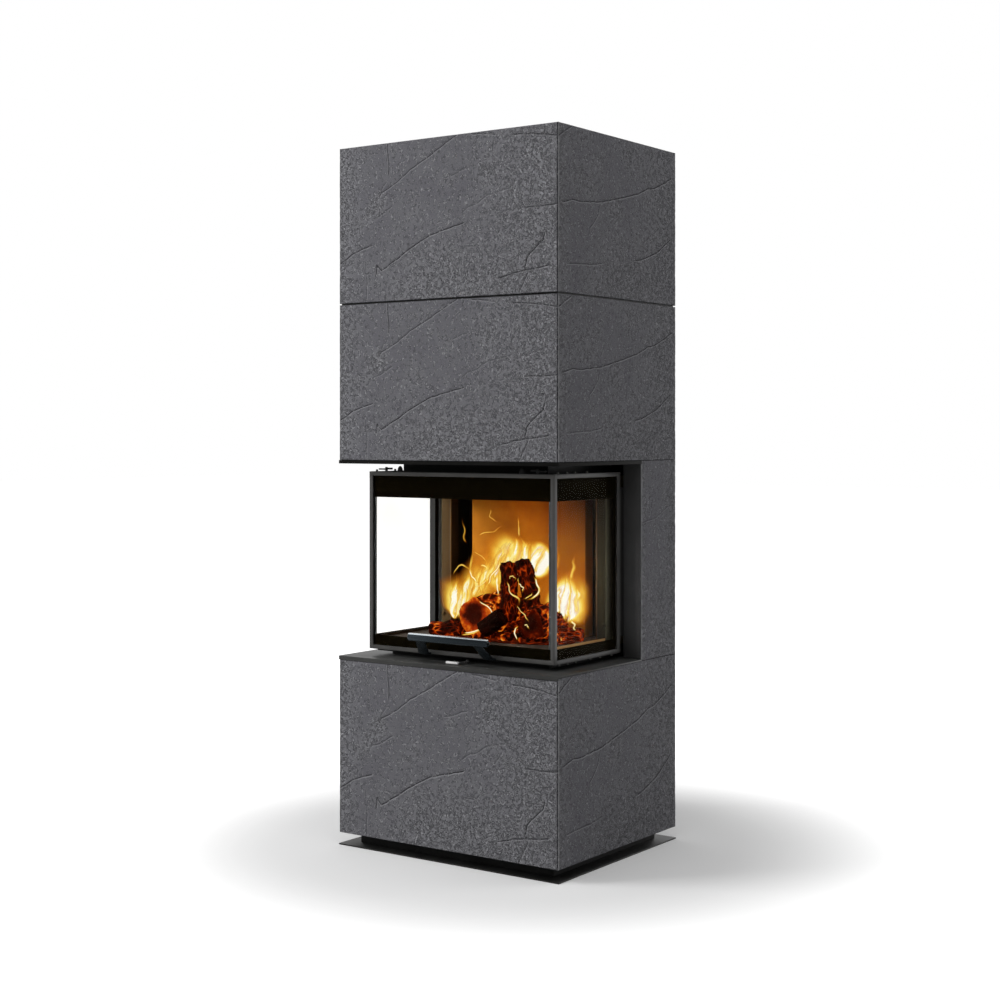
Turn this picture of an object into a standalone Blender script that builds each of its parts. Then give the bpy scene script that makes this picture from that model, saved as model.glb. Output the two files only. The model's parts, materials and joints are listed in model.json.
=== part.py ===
# Three-sided tower fireplace: a firebox with a U-shaped glass lift door, in a cladding of stone panels.
# Metres, +Z up. The origin is the bottom centre of the base plate, and the door faces -Y.
import math

import bmesh
import bpy
from mathutils import Matrix, Vector

# Overall cladding
tower_width = 0.750
tower_depth = 0.617
panel_thickness = 0.030
panel_chamfer = 0.0015
seat = 0.0003                       # gap between pieces that touch
cut_overrun = 0.010

# Base
base_plate_thickness = 0.004
plinth_inset = 0.045
plinth_bar = 0.030
plinth_height = 0.0280
carrier_thickness = 0.0027
carrier_inset = 0.015

# Heights of the stone rings
lower_ring_height = 0.4994
middle_ring_height = 0.5610
upper_ring_height = 0.4409
top_ring_height = 0.4417
ring_seam = 0.0040
seam_strip_inset = 0.006
seam_strip_width = 0.020

# Shelf plate and lintel tray, which close the stone above and below the door
shelf_sheet = 0.0040
shelf_lip_drop = 0.0070
shelf_rear_margin = 0.0785          # from the stone's rear edge
lintel_thickness = 0.0096
lintel_door_clearance = 0.012
lintel_front_clearance = 0.020
column_depth = 0.193                # of the closed column beside the door's rear end
fascia_sheet = 0.003
fascia_edge_inset = 0.002
fascia_return = 0.012
fascia_door_clearance = 0.002

# Lift door
door_side_margin = 0.057            # from the stone's outer face to the door's side
door_front_margin = 0.0665          # from the stone's front to the door's
door_rear_margin = 0.2145           # from the stone's rear edge to the door's rear end
door_bottom_gap = 0.0175            # above the shelf plate
door_height_margin = 0.054          # the middle ring is this much taller than the door
door_rail = 0.0115
door_post = 0.0125
door_rear_post = 0.015
door_profile = 0.0135
door_chamfer = 0.0012
glass_thickness = 0.004
glass_recess = 0.0020
door_lift = 0.450

# Handle
handle_length = 0.272
handle_height = 0.022
handle_depth = 0.016
handle_front_reach = 0.056          # bar's front, ahead of the door's face
handle_centre_height = 0.0505       # above the door's lower edge
handle_sides = 16
handle_round_share = 0.75
handle_end_chamfer = 0.003
arm_width = 0.037
arm_end_distance = 0.034
arm_thickness = 0.005
arm_foot_reach = 0.012

# Latches of the side windows, on top of the door
latch_corner_distance = 0.058
latch_bar_length = 0.026
latch_bar_width = 0.006
latch_bar_thickness = 0.004
latch_pin_radius = 0.0035
latch_pin_height = 0.013
latch_bar_rise = 0.005

# Firebox
firebox_side_gap = 0.0045           # beside the side frames
firebox_rear_step = 0.008           # narrower behind the door
firebox_front_gap = 0.004           # between the firebox edges and the door
firebox_shelf_margin = 0.027        # from the shelf plate's rear edge
firebox_sheet = 0.003
base_core_side_inset = 0.030
base_core_front_inset = 0.0295
base_flange_gap = 0.012             # below the flange, above the shelf plate
base_flange_thickness = 0.024
hearth_thickness = 0.015
hearth_rear_gap = 0.0655
hearth_front_inset = 0.002
baffle_smoke_gap = 0.0214           # over the baffle, under the ceiling
pilaster_width = 0.0344
pilaster_rear_gap = 0.103
pilaster_depth = 0.0375
pilaster_chamfer = 0.003
boss_radius = 0.005
boss_height = 0.005
boss_edge_distance = 0.0077
boss_rise = 0.043
back_block_side_gap = 0.0548        # beside the pilasters
back_block_setback = 0.033          # behind the pilasters' front
back_block_depth = 0.040
baffle_front_inset = 0.1245
baffle_thickness = 0.020
ceiling_thickness = 0.006
smoke_opening_side_inset = 0.100
smoke_opening_front_inset = 0.1395
smoke_opening_rear_inset = 0.143
seal_thickness = 0.0039
seal_height = 0.006

# Smoke chamber and flue
chamber_side_inset = 0.050
chamber_front_inset = 0.0545
chamber_rear_inset = 0.043
chamber_height = 0.362
chamber_wall = 0.004
flue_radius = 0.090
flue_wall = 0.003
flue_flange_radius = 0.112
flue_flange_thickness = 0.004
flue_steps = 32
flue_below_top = 0.008

# Top cover and rear covers
cover_sheet = 0.003
cover_below_top = 0.018
cover_flue_clearance = 0.006
cover_slot_width = 0.012
cover_slot_length = 0.075
cover_slot_side_margin = 0.065      # from the cover's end to the last slot's middle
cover_slot_count = 15
cover_slot_edge = 0.045
rear_sheet = 0.002
rear_inset = 0.008
vent_slot_length = 0.120
vent_slot_height = 0.008
vent_slot_pitch = 0.018
vent_side_margin = 0.095
vent_rows = 6
vent_columns = 3
vent_edge = 0.100

# Support frame
post_size = 0.034
post_side_inset = 0.073             # inward of the door's side
leg_size = 0.030
leg_setback = 0.042                 # behind the door's front
beam_thickness = 0.011
beam_height = 0.060
stub_depth = 0.026
foot_bar_height = 0.030
foot_bar_inset = 0.001
cross_bar_height = 0.030

# Lift mechanism
guide_side_inset = 0.0075
guide_setback = 0.056               # behind the door
guide_radius = 0.007
guide_headroom = 0.090              # above the raised carriages
guide_steps = 16
bush_clearance = 0.0005
bush_block_half_width = 0.012
bush_block_height = 0.040
bush_block_front_reach = 0.0135
bush_block_rear_reach = 0.028
carriage_thickness = 0.006
carriage_bottom_rise = 0.0435
plate_thickness = 0.003
guide_head = 0.032                  # of the rods, above the plate's lower edge
lug_offset = 0.008
lug_thickness = 0.006
lug_height = 0.060
lug_nose = 0.018
ear_width = 0.020
ear_margin = 0.013
shaft_radius = 0.008
shaft_overhang = 0.010
shaft_rise = 0.272                  # above the plate's lower edge
shaft_clearance = 0.0006
pulley_flange = 0.006               # of the rim, beyond the cable's middle
pulley_width = 0.012
pulley_hub_width = 0.024
pulley_hub_radius = 0.015
pulley_steps = 24
cable_radius = 0.002
cable_setback = 0.020               # behind the guide rods
cable_sides = 8
cable_groove_clearance = 0.0006
weight_rear_gap = 0.0019            # ahead of the mechanism plate
weight_end_gap = 0.020              # beside the stone
weight_depth = 0.038
weight_height = 0.074
weight_drop = 0.300                 # below the shaft, with the door down
weight_chamfer = 0.002

# Air control
lever_pivot_x = 0.0235
lever_setback = 0.012               # behind the door's front
lever_gap = 0.0032                  # under the lever, above the shelf plate
lever_thickness = 0.003
lever_hub_radius = 0.007
lever_width = 0.005
lever_screw_radius = 0.0045
lever_screw_height = 0.0032
tab_left_x = -0.016
tab_length = 0.042
tab_reach = 0.037                   # ahead of the door's front
tab_depth = 0.0075
tab_height = 0.0065
tab_bevel = 0.001
spindle_radius = 0.004
spindle_clearance = 0.0005
damper_radius = 0.016
damper_reach = 0.056
damper_thickness = 0.003
damper_drop = 0.001
air_hole_radius = 0.012
air_slot_half_width = 0.045
air_slot_height = 0.009
round_steps = 24
air_box_half_width = 0.110
air_box_reach = 0.028
air_box_length = 0.210
air_box_depth = 0.095
air_box_wall = 0.002
spigot_radius = 0.050
spigot_length = 0.075
spigot_distance = 0.130             # behind the box's front
spigot_wall = 0.002

# Fire: split logs on a bed of embers
ember_centre_x = 0.030
ember_forward = 0.0075              # ahead of the hearth's middle
ember_side_margin = 0.0737
ember_end_margin = 0.075
ember_height = 0.008
ember_steps = 28
log_left_offset = 0.060
log_left_back = 0.020
log_left_radius = 0.060
log_left_height = 0.108
log_left_length_share = 6 / 7        # of the embers' depth
log_left_turn = math.radians(88)
log_right_margin = 0.080            # inward of the embers' end
log_right_back = 0.005
log_right_radius = 0.036
log_right_height = 0.060
log_right_length_share = 5 / 7
log_right_turn = math.radians(80)
branch_foot_offset = 0.015
branch_foot_rise = 0.030
branch_lean = 0.090
branch_head_rise = 0.212
branch_half_width = 0.022
branch_half_depth = 0.030
branch_tip_share = 0.55
branch_sides = 7

# Levels, worked out from the sizes above
plinth_top = base_plate_thickness + seat + plinth_height
carrier_low = plinth_top
carrier_top = carrier_low + carrier_thickness
lower_low = carrier_top + seat
lower_top = lower_low + lower_ring_height
shelf_low = lower_top + seat
shelf_top = shelf_low + shelf_sheet
shelf_lip_low = shelf_low - shelf_lip_drop
middle_low = lower_top + seat
middle_top = middle_low + middle_ring_height
lintel_top = middle_top
lintel_low = lintel_top - lintel_thickness
upper_low = middle_top + seat
upper_top = upper_low + upper_ring_height
top_low = upper_top + ring_seam
top_top = top_low + top_ring_height
door_height = middle_ring_height - door_height_margin
door_low = shelf_top + door_bottom_gap
door_top = door_low + door_height
cover_top = top_top - cover_below_top
cover_low = cover_top - cover_sheet
flange_low = shelf_top + base_flange_gap
base_top = flange_low + base_flange_thickness
hearth_low = base_top + seat
hearth_top = hearth_low + hearth_thickness
lining_low = hearth_top + seat
ceiling_top = door_top - ceiling_thickness
ceiling_low = ceiling_top - ceiling_thickness
lining_top = ceiling_low - baffle_smoke_gap - baffle_thickness - seat
chamber_low = ceiling_top + seat
chamber_top = chamber_low + chamber_height
carriage_low = door_low + carriage_bottom_rise
carriage_high = door_top - carriage_bottom_rise
guide_top = carriage_high + door_lift + guide_headroom
plate_low = guide_top - guide_head
shaft_height = plate_low + shaft_rise
weight_top = shaft_height - weight_drop

# Places in plan
half_width = tower_width / 2
half_depth = tower_depth / 2
inner_half_width = half_width - panel_thickness
inner_front_y = panel_thickness - half_depth
rear_face_y = half_depth - rear_inset
rear_inner_y = rear_face_y - rear_sheet
shelf_rear_y = half_depth - shelf_rear_margin
column_front_y = half_depth - column_depth
door_half_width = half_width - door_side_margin
door_front_y = door_front_margin - half_depth
door_rear_y = half_depth - door_rear_margin
arm_spacing = handle_length - 2 * arm_end_distance
latch_spacing = 2 * (door_half_width - latch_corner_distance)
firebox_half_width = door_half_width - door_profile - firebox_side_gap
firebox_rear_half_width = firebox_half_width - firebox_rear_step
firebox_front_y = door_front_y + door_profile + firebox_front_gap
firebox_rear_y = shelf_rear_y - firebox_shelf_margin
base_core_half_width = firebox_half_width - base_core_side_inset
base_core_front_y = firebox_front_y + base_core_front_inset
lining_half_width = firebox_rear_half_width - firebox_sheet - seat
hearth_front_y = firebox_front_y + hearth_front_inset
hearth_rear_y = firebox_rear_y - hearth_rear_gap
pilaster_inner_x = lining_half_width - pilaster_width
pilaster_front_y = firebox_rear_y - pilaster_rear_gap - pilaster_depth
back_block_half_width = pilaster_inner_x - back_block_side_gap
back_block_front_y = pilaster_front_y + back_block_setback
baffle_front_y = firebox_front_y + baffle_front_inset
smoke_opening_half_width = firebox_half_width - smoke_opening_side_inset
smoke_opening_front_y = firebox_front_y + smoke_opening_front_inset
smoke_opening_rear_y = firebox_rear_y - smoke_opening_rear_inset
chamber_half_width = firebox_half_width - chamber_side_inset
chamber_front_y = firebox_front_y + chamber_front_inset
chamber_rear_y = firebox_rear_y - chamber_rear_inset
flue_y = (chamber_front_y + chamber_rear_y) / 2
cover_slot_pitch = 2 * (inner_half_width - cover_slot_side_margin) / (cover_slot_count - 1)
vent_column_pitch = (2 * (inner_half_width - vent_side_margin) - vent_slot_length) / (vent_columns - 1)
post_half_spacing = door_half_width - post_side_inset
post_rear_y = rear_inner_y - seat
post_front_y = post_rear_y - post_size
post_outer_x = post_half_spacing + post_size / 2
leg_y = door_front_y + leg_setback
guide_x = door_half_width - guide_side_inset
guide_y = door_rear_y + guide_setback
bush_block_front_y = guide_y - bush_block_front_reach
bush_block_rear_y = guide_y + bush_block_rear_reach
cable_front_y = guide_y + cable_setback
cable_rear_y = post_front_y - seat - plate_thickness - weight_rear_gap - weight_depth / 2
shaft_y = (cable_front_y + cable_rear_y) / 2
pulley_pitch_radius = (cable_rear_y - cable_front_y) / 2
pulley_rim_radius = pulley_pitch_radius + pulley_flange
weight_half_length = inner_half_width - weight_end_gap
lever_pivot_y = door_front_y + lever_setback
tab_front_y = door_front_y - tab_reach
air_box_front_y = door_front_y - air_box_reach
air_box_rear_y = air_box_front_y + air_box_length
spigot_y = air_box_front_y + spigot_distance
ember_centre_y = (hearth_front_y + hearth_rear_y) / 2 - ember_forward
ember_half_length = lining_half_width - ember_side_margin
ember_half_depth = (hearth_rear_y - hearth_front_y) / 2 - ember_end_margin
log_left_x = ember_centre_x - log_left_offset
log_left_y = ember_centre_y + log_left_back
log_left_length = 2 * ember_half_depth * log_left_length_share
log_right_x = ember_centre_x + ember_half_length - log_right_margin
log_right_y = ember_centre_y + log_right_back
log_right_length = 2 * ember_half_depth * log_right_length_share
branch_foot_x = log_right_x - branch_foot_offset
branch_head_x = branch_foot_x - branch_lean


# Materials, each with the colour of the real finish
def finish(name, colour, roughness, metallic):
    made = bpy.data.materials.new(name)
    made.use_nodes = True
    shader = made.node_tree.nodes["Principled BSDF"]
    shader.inputs["Base Color"].default_value = (*colour, 1.0)
    shader.inputs["Roughness"].default_value = roughness
    shader.inputs["Metallic"].default_value = metallic
    made.diffuse_color = (*colour, 1.0)
    return made


# Shapes, each added to a mesh under construction
def add_prism(shape, outline, low, high, axis="z"):
    # The outline lies in the plane across the axis: YZ for x, XZ for y, XY for z.
    def place(point, level):
        if axis == "x":
            return (level, point[0], point[1])
        if axis == "y":
            return (point[0], level, point[1])
        return (point[0], point[1], level)

    first = [shape.verts.new(place(point, low)) for point in outline]
    last = [shape.verts.new(place(point, high)) for point in outline]
    faces = [shape.faces.new(first), shape.faces.new(last)]
    for index in range(len(outline)):
        following = (index + 1) % len(outline)
        faces.append(shape.faces.new((first[index], first[following], last[following], last[index])))
    bmesh.ops.recalc_face_normals(shape, faces=faces)
    return faces


def add_box(shape, low, high):
    outline = [(low[0], low[1]), (high[0], low[1]), (high[0], high[1]), (low[0], high[1])]
    return add_prism(shape, outline, low[2], high[2])


def add_turned(shape, profile, centre, axis, steps):
    # A closed profile of (radius, height) points, turned round an axis through the centre.
    turn = {"x": Matrix.Rotation(math.pi / 2, 3, "Y"), "z": Matrix.Identity(3)}[axis]
    rings = []
    for step in range(steps):
        angle = 2 * math.pi * step / steps
        ring = []
        for radius, height in profile:
            point = Vector((radius * math.cos(angle), radius * math.sin(angle), height))
            ring.append(shape.verts.new(turn @ point + Vector(centre)))
        rings.append(ring)
    faces = []
    for step in range(steps):
        here = rings[step]
        beyond = rings[(step + 1) % steps]
        for index in range(len(profile)):
            following = (index + 1) % len(profile)
            faces.append(shape.faces.new((here[index], beyond[index], beyond[following], here[following])))
    bmesh.ops.recalc_face_normals(shape, faces=faces)
    return faces


def circle(centre, radius, steps):
    return [(centre[0] + radius * math.cos(2 * math.pi * step / steps),
             centre[1] + radius * math.sin(2 * math.pi * step / steps)) for step in range(steps)]


def add_rod(shape, centre, radius, low, high, axis, steps):
    return add_prism(shape, circle(centre, radius, steps), low, high, axis)


def mirrored(outline):
    return [(-point[0], point[1]) for point in outline]


def both_sides(low, high):
    # The same box on the right and on the left.
    return [(low, high), ((-high[0], low[1], low[2]), (-low[0], high[1], high[2]))]


# Objects
def make(name, shape, material, smooth_angle=None):
    mesh = bpy.data.meshes.new(name)
    shape.to_mesh(mesh)
    shape.free()
    mesh.materials.append(material)
    if smooth_angle is not None:
        mesh.shade_smooth()
        mesh.set_sharp_from_angle(angle=smooth_angle)
    made = bpy.data.objects.new(name, mesh)
    bpy.context.collection.objects.link(made)
    return made


def boxes_shape(boxes):
    shape = bmesh.new()
    for low, high in boxes:
        add_box(shape, low, high)
    return shape


def make_box(name, low, high, material):
    return make(name, boxes_shape([(low, high)]), material)


def apply_shape(target, shape, operation):
    # The second shape is kept as a hidden guide that the Boolean reads.
    mesh = bpy.data.meshes.new("guide_" + target.name)
    shape.to_mesh(mesh)
    shape.free()
    guide = bpy.data.objects.new("guide_%s_%d" % (target.name, len(target.modifiers)), mesh)
    bpy.context.collection.objects.link(guide)
    guide.hide_render = True
    guide.display_type = "WIRE"
    step = target.modifiers.new(operation.lower(), "BOOLEAN")
    step.operation = operation
    step.solver = "EXACT"
    step.object = guide


def cut(target, shape):
    apply_shape(target, shape, "DIFFERENCE")


def join(target, shape):
    apply_shape(target, shape, "UNION")


def bevel_edges(shape, chosen, width):
    bmesh.ops.bevel(shape, geom=chosen, offset=width, segments=1, affect="EDGES", profile=0.5)


def joint_empty(name, place):
    empty = bpy.data.objects.new(name, None)
    empty.location = place
    bpy.context.collection.objects.link(empty)
    return empty


def hang_on(empty, children):
    bpy.context.view_layer.update()
    for child in children:
        child.parent = empty
        child.matrix_parent_inverse = empty.matrix_world.inverted()


# Stone panels with mitred front corners and a fine chamfer round the outer face
def stone_panel(name, start, end, low, high, mitre_start, mitre_end, material):
    along = (Vector(end) - Vector(start)).normalized()
    inward = Vector((-along.y, along.x))
    outer_start = Vector(start) + along * (seat if mitre_start else 0)
    outer_end = Vector(end) - along * (seat if mitre_end else 0)
    inner_start = outer_start + inward * panel_thickness + along * (panel_thickness if mitre_start else 0)
    inner_end = outer_end + inward * panel_thickness - along * (panel_thickness if mitre_end else 0)
    shape = bmesh.new()
    outline = [tuple(point) for point in (outer_start, outer_end, inner_end, inner_start)]
    add_prism(shape, outline, low, high)
    outer = []
    for edge in shape.edges:
        depths = [(vert.co.xy - Vector(start)).dot(inward) for vert in edge.verts]
        if max(depths) < panel_thickness / 2:
            outer.append(edge)
    bevel_edges(shape, outer, panel_chamfer)
    return make(name, shape, material)


def stone_ring(ring, low, high, material, front=None, side_start_y=None):
    # Front, left and right panels; a ring with no front starts its sides at side_start_y.
    corner_y = -half_depth if side_start_y is None else side_start_y
    mitred = side_start_y is None
    if front is not None:
        stone_panel(ring + "_front_panel", (-half_width, -half_depth), (half_width, -half_depth),
                    low, front, True, True, material)
    stone_panel(ring + "_right_panel", (half_width, corner_y), (half_width, half_depth),
                low, high, mitred, False, material)
    stone_panel(ring + "_left_panel", (-half_width, half_depth), (-half_width, corner_y),
                low, high, False, mitred, material)


def build_cladding(stone, steel):
    stone_ring("lower", lower_low, lower_top, stone, front=shelf_lip_low - seat)
    stone_ring("middle", middle_low, middle_top, stone, side_start_y=column_front_y)
    stone_ring("upper", upper_low, upper_top, stone, front=upper_top)
    stone_ring("top", top_low, top_top, stone, front=top_top)

    # Spacer strip in the seam between the two upper rings
    x_out = half_width - seam_strip_inset
    y_out = half_depth - seam_strip_inset
    x_in = x_out - seam_strip_width
    outline = [(x_out, y_out), (x_in, y_out), (x_in, seam_strip_width - y_out), (-x_in, seam_strip_width - y_out),
               (-x_in, y_out), (-x_out, y_out), (-x_out, -y_out), (x_out, -y_out)]
    shape = bmesh.new()
    add_prism(shape, outline, upper_top + seat, top_low - seat)
    make("seam_strip", shape, steel)


def build_base(steel):
    make_box("base_plate", (-half_width, -half_depth, 0), (half_width, half_depth, base_plate_thickness), steel)

    # Plinth: a carrier sheet on a welded ring of bars
    x_carrier = half_width - carrier_inset
    y_carrier = half_depth - carrier_inset
    plinth = make_box("plinth", (-x_carrier, -y_carrier, carrier_low), (x_carrier, y_carrier, carrier_top), steel)
    x_out = half_width - plinth_inset
    y_out = half_depth - plinth_inset
    low = base_plate_thickness + seat
    join(plinth, boxes_shape([((-x_out, -y_out, low), (x_out, y_out, carrier_low + carrier_thickness / 2))]))
    x_in = x_out - plinth_bar
    y_in = y_out - plinth_bar
    cut(plinth, boxes_shape([((-x_in, -y_in, low - cut_overrun), (x_in, y_in, carrier_low))]))


def build_shelf_and_lintel(steel):
    # Shelf plate: a sheet with a folded front lip, narrower behind the fascias
    rear_half = inner_half_width - seat
    front_edge = column_front_y - seat
    outline = [(-half_width, -half_depth), (half_width, -half_depth), (half_width, front_edge),
               (rear_half, front_edge), (rear_half, shelf_rear_y), (-rear_half, shelf_rear_y),
               (-rear_half, front_edge), (-half_width, front_edge)]
    shape = bmesh.new()
    add_prism(shape, outline, shelf_low, shelf_top)
    shelf = make("shelf_plate", shape, steel)
    x_lip = half_width - seat
    y_lip = shelf_sheet - half_depth
    lip = bmesh.new()
    add_prism(lip, [(-x_lip, -half_depth), (x_lip, -half_depth), (x_lip - shelf_sheet, y_lip),
                    (shelf_sheet - x_lip, y_lip)], shelf_lip_low, shelf_low + shelf_sheet / 2)
    join(shelf, lip)
    holes = bmesh.new()
    for y_hole, radius in ((lever_pivot_y, spindle_radius + spindle_clearance),
                           (lever_pivot_y + damper_reach, air_hole_radius)):
        add_rod(holes, (lever_pivot_x, y_hole), radius, shelf_low - cut_overrun, shelf_top + cut_overrun,
                "z", round_steps)
    cut(shelf, holes)

    # Lintel tray: open in the middle, where the door rises
    x_in = door_half_width + lintel_door_clearance
    y_in = door_front_y - lintel_front_clearance
    outline = [(-half_width, -half_depth), (half_width, -half_depth), (half_width, front_edge), (x_in, front_edge),
               (x_in, y_in), (-x_in, y_in), (-x_in, front_edge), (-half_width, front_edge)]
    shape = bmesh.new()
    add_prism(shape, outline, lintel_low, lintel_top)
    make("lintel_tray", shape, steel)

    # Fascias that close the rear column beside the door
    x_low = door_half_width - fascia_door_clearance
    x_high = half_width - fascia_edge_inset
    y_front = front_edge - fascia_sheet
    y_return = front_edge + fascia_return
    outline = [(x_low, y_front), (x_high, y_front), (x_high, front_edge), (x_low + fascia_sheet, front_edge),
               (x_low + fascia_sheet, y_return), (x_low, y_return)]
    for name, points in (("fascia_right", outline), ("fascia_left", mirrored(outline))):
        shape = bmesh.new()
        add_prism(shape, points, shelf_top + seat, lintel_low - seat)
        make(name, shape, steel)


def build_support_frame(steel):
    # One welded frame: rear posts, front legs, foot bars, cross bars and the beams round the upper ring
    low = carrier_top + seat
    inner = post_half_spacing - post_size / 2
    frame = make_box("support_frame", (inner, post_front_y, low), (post_outer_x, post_rear_y, cover_low - seat), steel)
    x_leg = post_half_spacing - leg_size / 2
    x_leg_out = post_half_spacing + leg_size / 2
    y_leg = leg_y - leg_size / 2
    beam_low = lintel_top + seat
    beam_high = beam_low + beam_height
    x_out = inner_half_width - seat
    x_in = x_out - beam_thickness
    y_front = inner_front_y + seat
    parts = [((-post_outer_x, post_front_y, low), (-inner, post_rear_y, cover_low - seat))]
    parts += both_sides((x_leg, y_leg, low), (x_leg_out, y_leg + leg_size, shelf_low - seat))
    for bar_low in (low, shelf_low - seat - foot_bar_height):
        parts += both_sides((x_leg + foot_bar_inset, y_leg + foot_bar_inset, bar_low + foot_bar_inset),
                            (x_leg_out - foot_bar_inset, post_rear_y - foot_bar_inset,
                             bar_low + foot_bar_height - foot_bar_inset))
    for bar_low in (low + foot_bar_inset, beam_low, cover_low - seat - cross_bar_height - foot_bar_inset):
        parts.append(((-post_half_spacing, post_front_y + foot_bar_inset, bar_low),
                      (post_half_spacing, post_rear_y - foot_bar_inset, bar_low + cross_bar_height)))
    parts += both_sides((post_half_spacing, post_rear_y - stub_depth, beam_low + foot_bar_inset),
                        (x_in + foot_bar_inset, post_rear_y - foot_bar_inset, beam_high - foot_bar_inset))
    for part_low, part_high in parts:
        join(frame, boxes_shape([(part_low, part_high)]))
    beam = bmesh.new()
    outline = [(x_out, post_rear_y), (x_in, post_rear_y), (x_in, y_front + beam_thickness),
               (-x_in, y_front + beam_thickness), (-x_in, post_rear_y), (-x_out, post_rear_y),
               (-x_out, y_front), (x_out, y_front)]
    add_prism(beam, outline, beam_low, beam_high)
    join(frame, beam)


def build_covers(steel):
    # Top cover: a flat sheet with a flue hole and two rows of outlet slots
    x_out = inner_half_width - seat
    y_front = inner_front_y + seat
    y_rear = rear_inner_y - seat
    cover = make_box("top_cover", (-x_out, y_front, cover_low), (x_out, y_rear, cover_top), steel)
    holes = bmesh.new()
    add_rod(holes, (0, flue_y), flue_radius + cover_flue_clearance, cover_low - cut_overrun,
            cover_top + cut_overrun, "z", flue_steps)
    first = -cover_slot_pitch * (cover_slot_count - 1) / 2
    for row_y in (y_front + cover_slot_edge, y_rear - cover_slot_edge - cover_slot_length):
        for index in range(cover_slot_count):
            x_mid = first + index * cover_slot_pitch
            add_box(holes, (x_mid - cover_slot_width / 2, row_y, cover_low - cut_overrun),
                    (x_mid + cover_slot_width / 2, row_y + cover_slot_length, cover_top + cut_overrun))
    cut(cover, holes)

    # Rear cover: a flat sheet with inlet slots at the foot and outlet slots at the head
    cover = make_box("rear_cover", (-x_out, rear_inner_y, lower_low), (x_out, rear_face_y, cover_top), steel)
    slots = []
    for vents_low in (lower_low + vent_edge, cover_top - vent_edge - vent_rows * vent_slot_pitch):
        for row in range(vent_rows):
            for column in range(vent_columns):
                x_mid = (column - (vent_columns - 1) / 2) * vent_column_pitch
                z_low = vents_low + row * vent_slot_pitch
                slots.append(((x_mid - vent_slot_length / 2, rear_inner_y - cut_overrun, z_low),
                              (x_mid + vent_slot_length / 2, rear_face_y + cut_overrun, z_low + vent_slot_height)))
    cut(cover, boxes_shape(slots))


def firebox_outline(front_y, step_y, rear_y, front_half, rear_half):
    # Wide between the door's sides, narrower behind them.
    return [(-front_half, front_y), (front_half, front_y), (front_half, step_y), (rear_half, step_y),
            (rear_half, rear_y), (-rear_half, rear_y), (-rear_half, step_y), (-front_half, step_y)]


def build_firebox(steel, chamotte, vermiculite, rope):
    plan = firebox_outline(firebox_front_y, door_rear_y - seat, firebox_rear_y,
                           firebox_half_width, firebox_rear_half_width)

    # Base tray: a flange round a core that stands on the shelf plate, with an air slot to the front glass
    shape = bmesh.new()
    add_prism(shape, plan, flange_low, base_top)
    tray = make("firebox_base", shape, steel)
    join(tray, boxes_shape([((-base_core_half_width, base_core_front_y, shelf_top + seat),
                             (base_core_half_width, firebox_rear_y, base_top - base_flange_thickness / 2))]))
    cut(tray, boxes_shape([((lever_pivot_x - air_slot_half_width, base_core_front_y - cut_overrun,
                             shelf_top - cut_overrun),
                            (lever_pivot_x + air_slot_half_width,
                             lever_pivot_y + damper_reach + air_hole_radius, shelf_top + air_slot_height))]))

    # Hearth slab of chamotte
    make_box("hearth_slab", (-lining_half_width, hearth_front_y, hearth_low),
             (lining_half_width, hearth_rear_y, hearth_top), chamotte)

    # Rear shell: a folded sheet round the back of the fire
    x_out = firebox_rear_half_width
    x_in = x_out - firebox_sheet
    y_side = pilaster_front_y + pilaster_depth + seat
    outline = [(x_out, y_side), (x_out, firebox_rear_y), (-x_out, firebox_rear_y), (-x_out, y_side),
               (-x_in, y_side), (-x_in, firebox_rear_y - firebox_sheet), (x_in, firebox_rear_y - firebox_sheet),
               (x_in, y_side)]
    shape = bmesh.new()
    add_prism(shape, outline, hearth_low, ceiling_low - seat)
    make("rear_shell", shape, steel)

    # Pilasters beside the back block, with a chamfered inner edge and one boss each
    x_low = pilaster_inner_x
    x_high = lining_half_width
    y_front = pilaster_front_y
    y_back = y_front + pilaster_depth
    outline = [(x_low + pilaster_chamfer, y_front), (x_high, y_front), (x_high, y_back), (x_low, y_back),
               (x_low, y_front + pilaster_chamfer)]
    for name, points, side in (("pilaster_right", outline, 1), ("pilaster_left", mirrored(outline), -1)):
        shape = bmesh.new()
        add_prism(shape, points, lining_low, lining_top)
        boss = bmesh.new()
        add_rod(boss, (side * (x_high - boss_edge_distance), hearth_top + boss_rise), boss_radius,
                y_front - boss_height, y_front + boss_height, "y", round_steps)
        join(make(name, shape, chamotte), boss)

    # Back block and the baffle that lies on it
    y_block = back_block_front_y + back_block_depth
    make_box("back_block", (-back_block_half_width, back_block_front_y, lining_low),
             (back_block_half_width, y_block, lining_top), chamotte)
    baffle_low = lining_top + seat
    make_box("baffle_plate", (-lining_half_width, baffle_front_y, baffle_low),
             (lining_half_width, y_block, baffle_low + baffle_thickness), vermiculite)

    # Ceiling with its smoke opening
    shape = bmesh.new()
    add_prism(shape, plan, ceiling_low, ceiling_top)
    ceiling = make("chamber_ceiling", shape, steel)
    opening = bmesh.new()
    add_box(opening, (-smoke_opening_half_width, smoke_opening_front_y, ceiling_low - cut_overrun),
            (smoke_opening_half_width, smoke_opening_rear_y, ceiling_top + cut_overrun))
    cut(ceiling, opening)

    # Rope seal round the ceiling, just clear of the door
    x_in = firebox_half_width + seat
    x_out = x_in + seal_thickness
    y_in = firebox_front_y - seat
    y_out = y_in - seal_thickness + seat
    y_end = door_rear_y - seat
    outline = [(x_out, y_end), (x_in, y_end), (x_in, y_in), (-x_in, y_in), (-x_in, y_end), (-x_out, y_end),
               (-x_out, y_out), (x_out, y_out)]
    shape = bmesh.new()
    add_prism(shape, outline, ceiling_low, ceiling_low + seal_height)
    make("door_seal", shape, rope)


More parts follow.
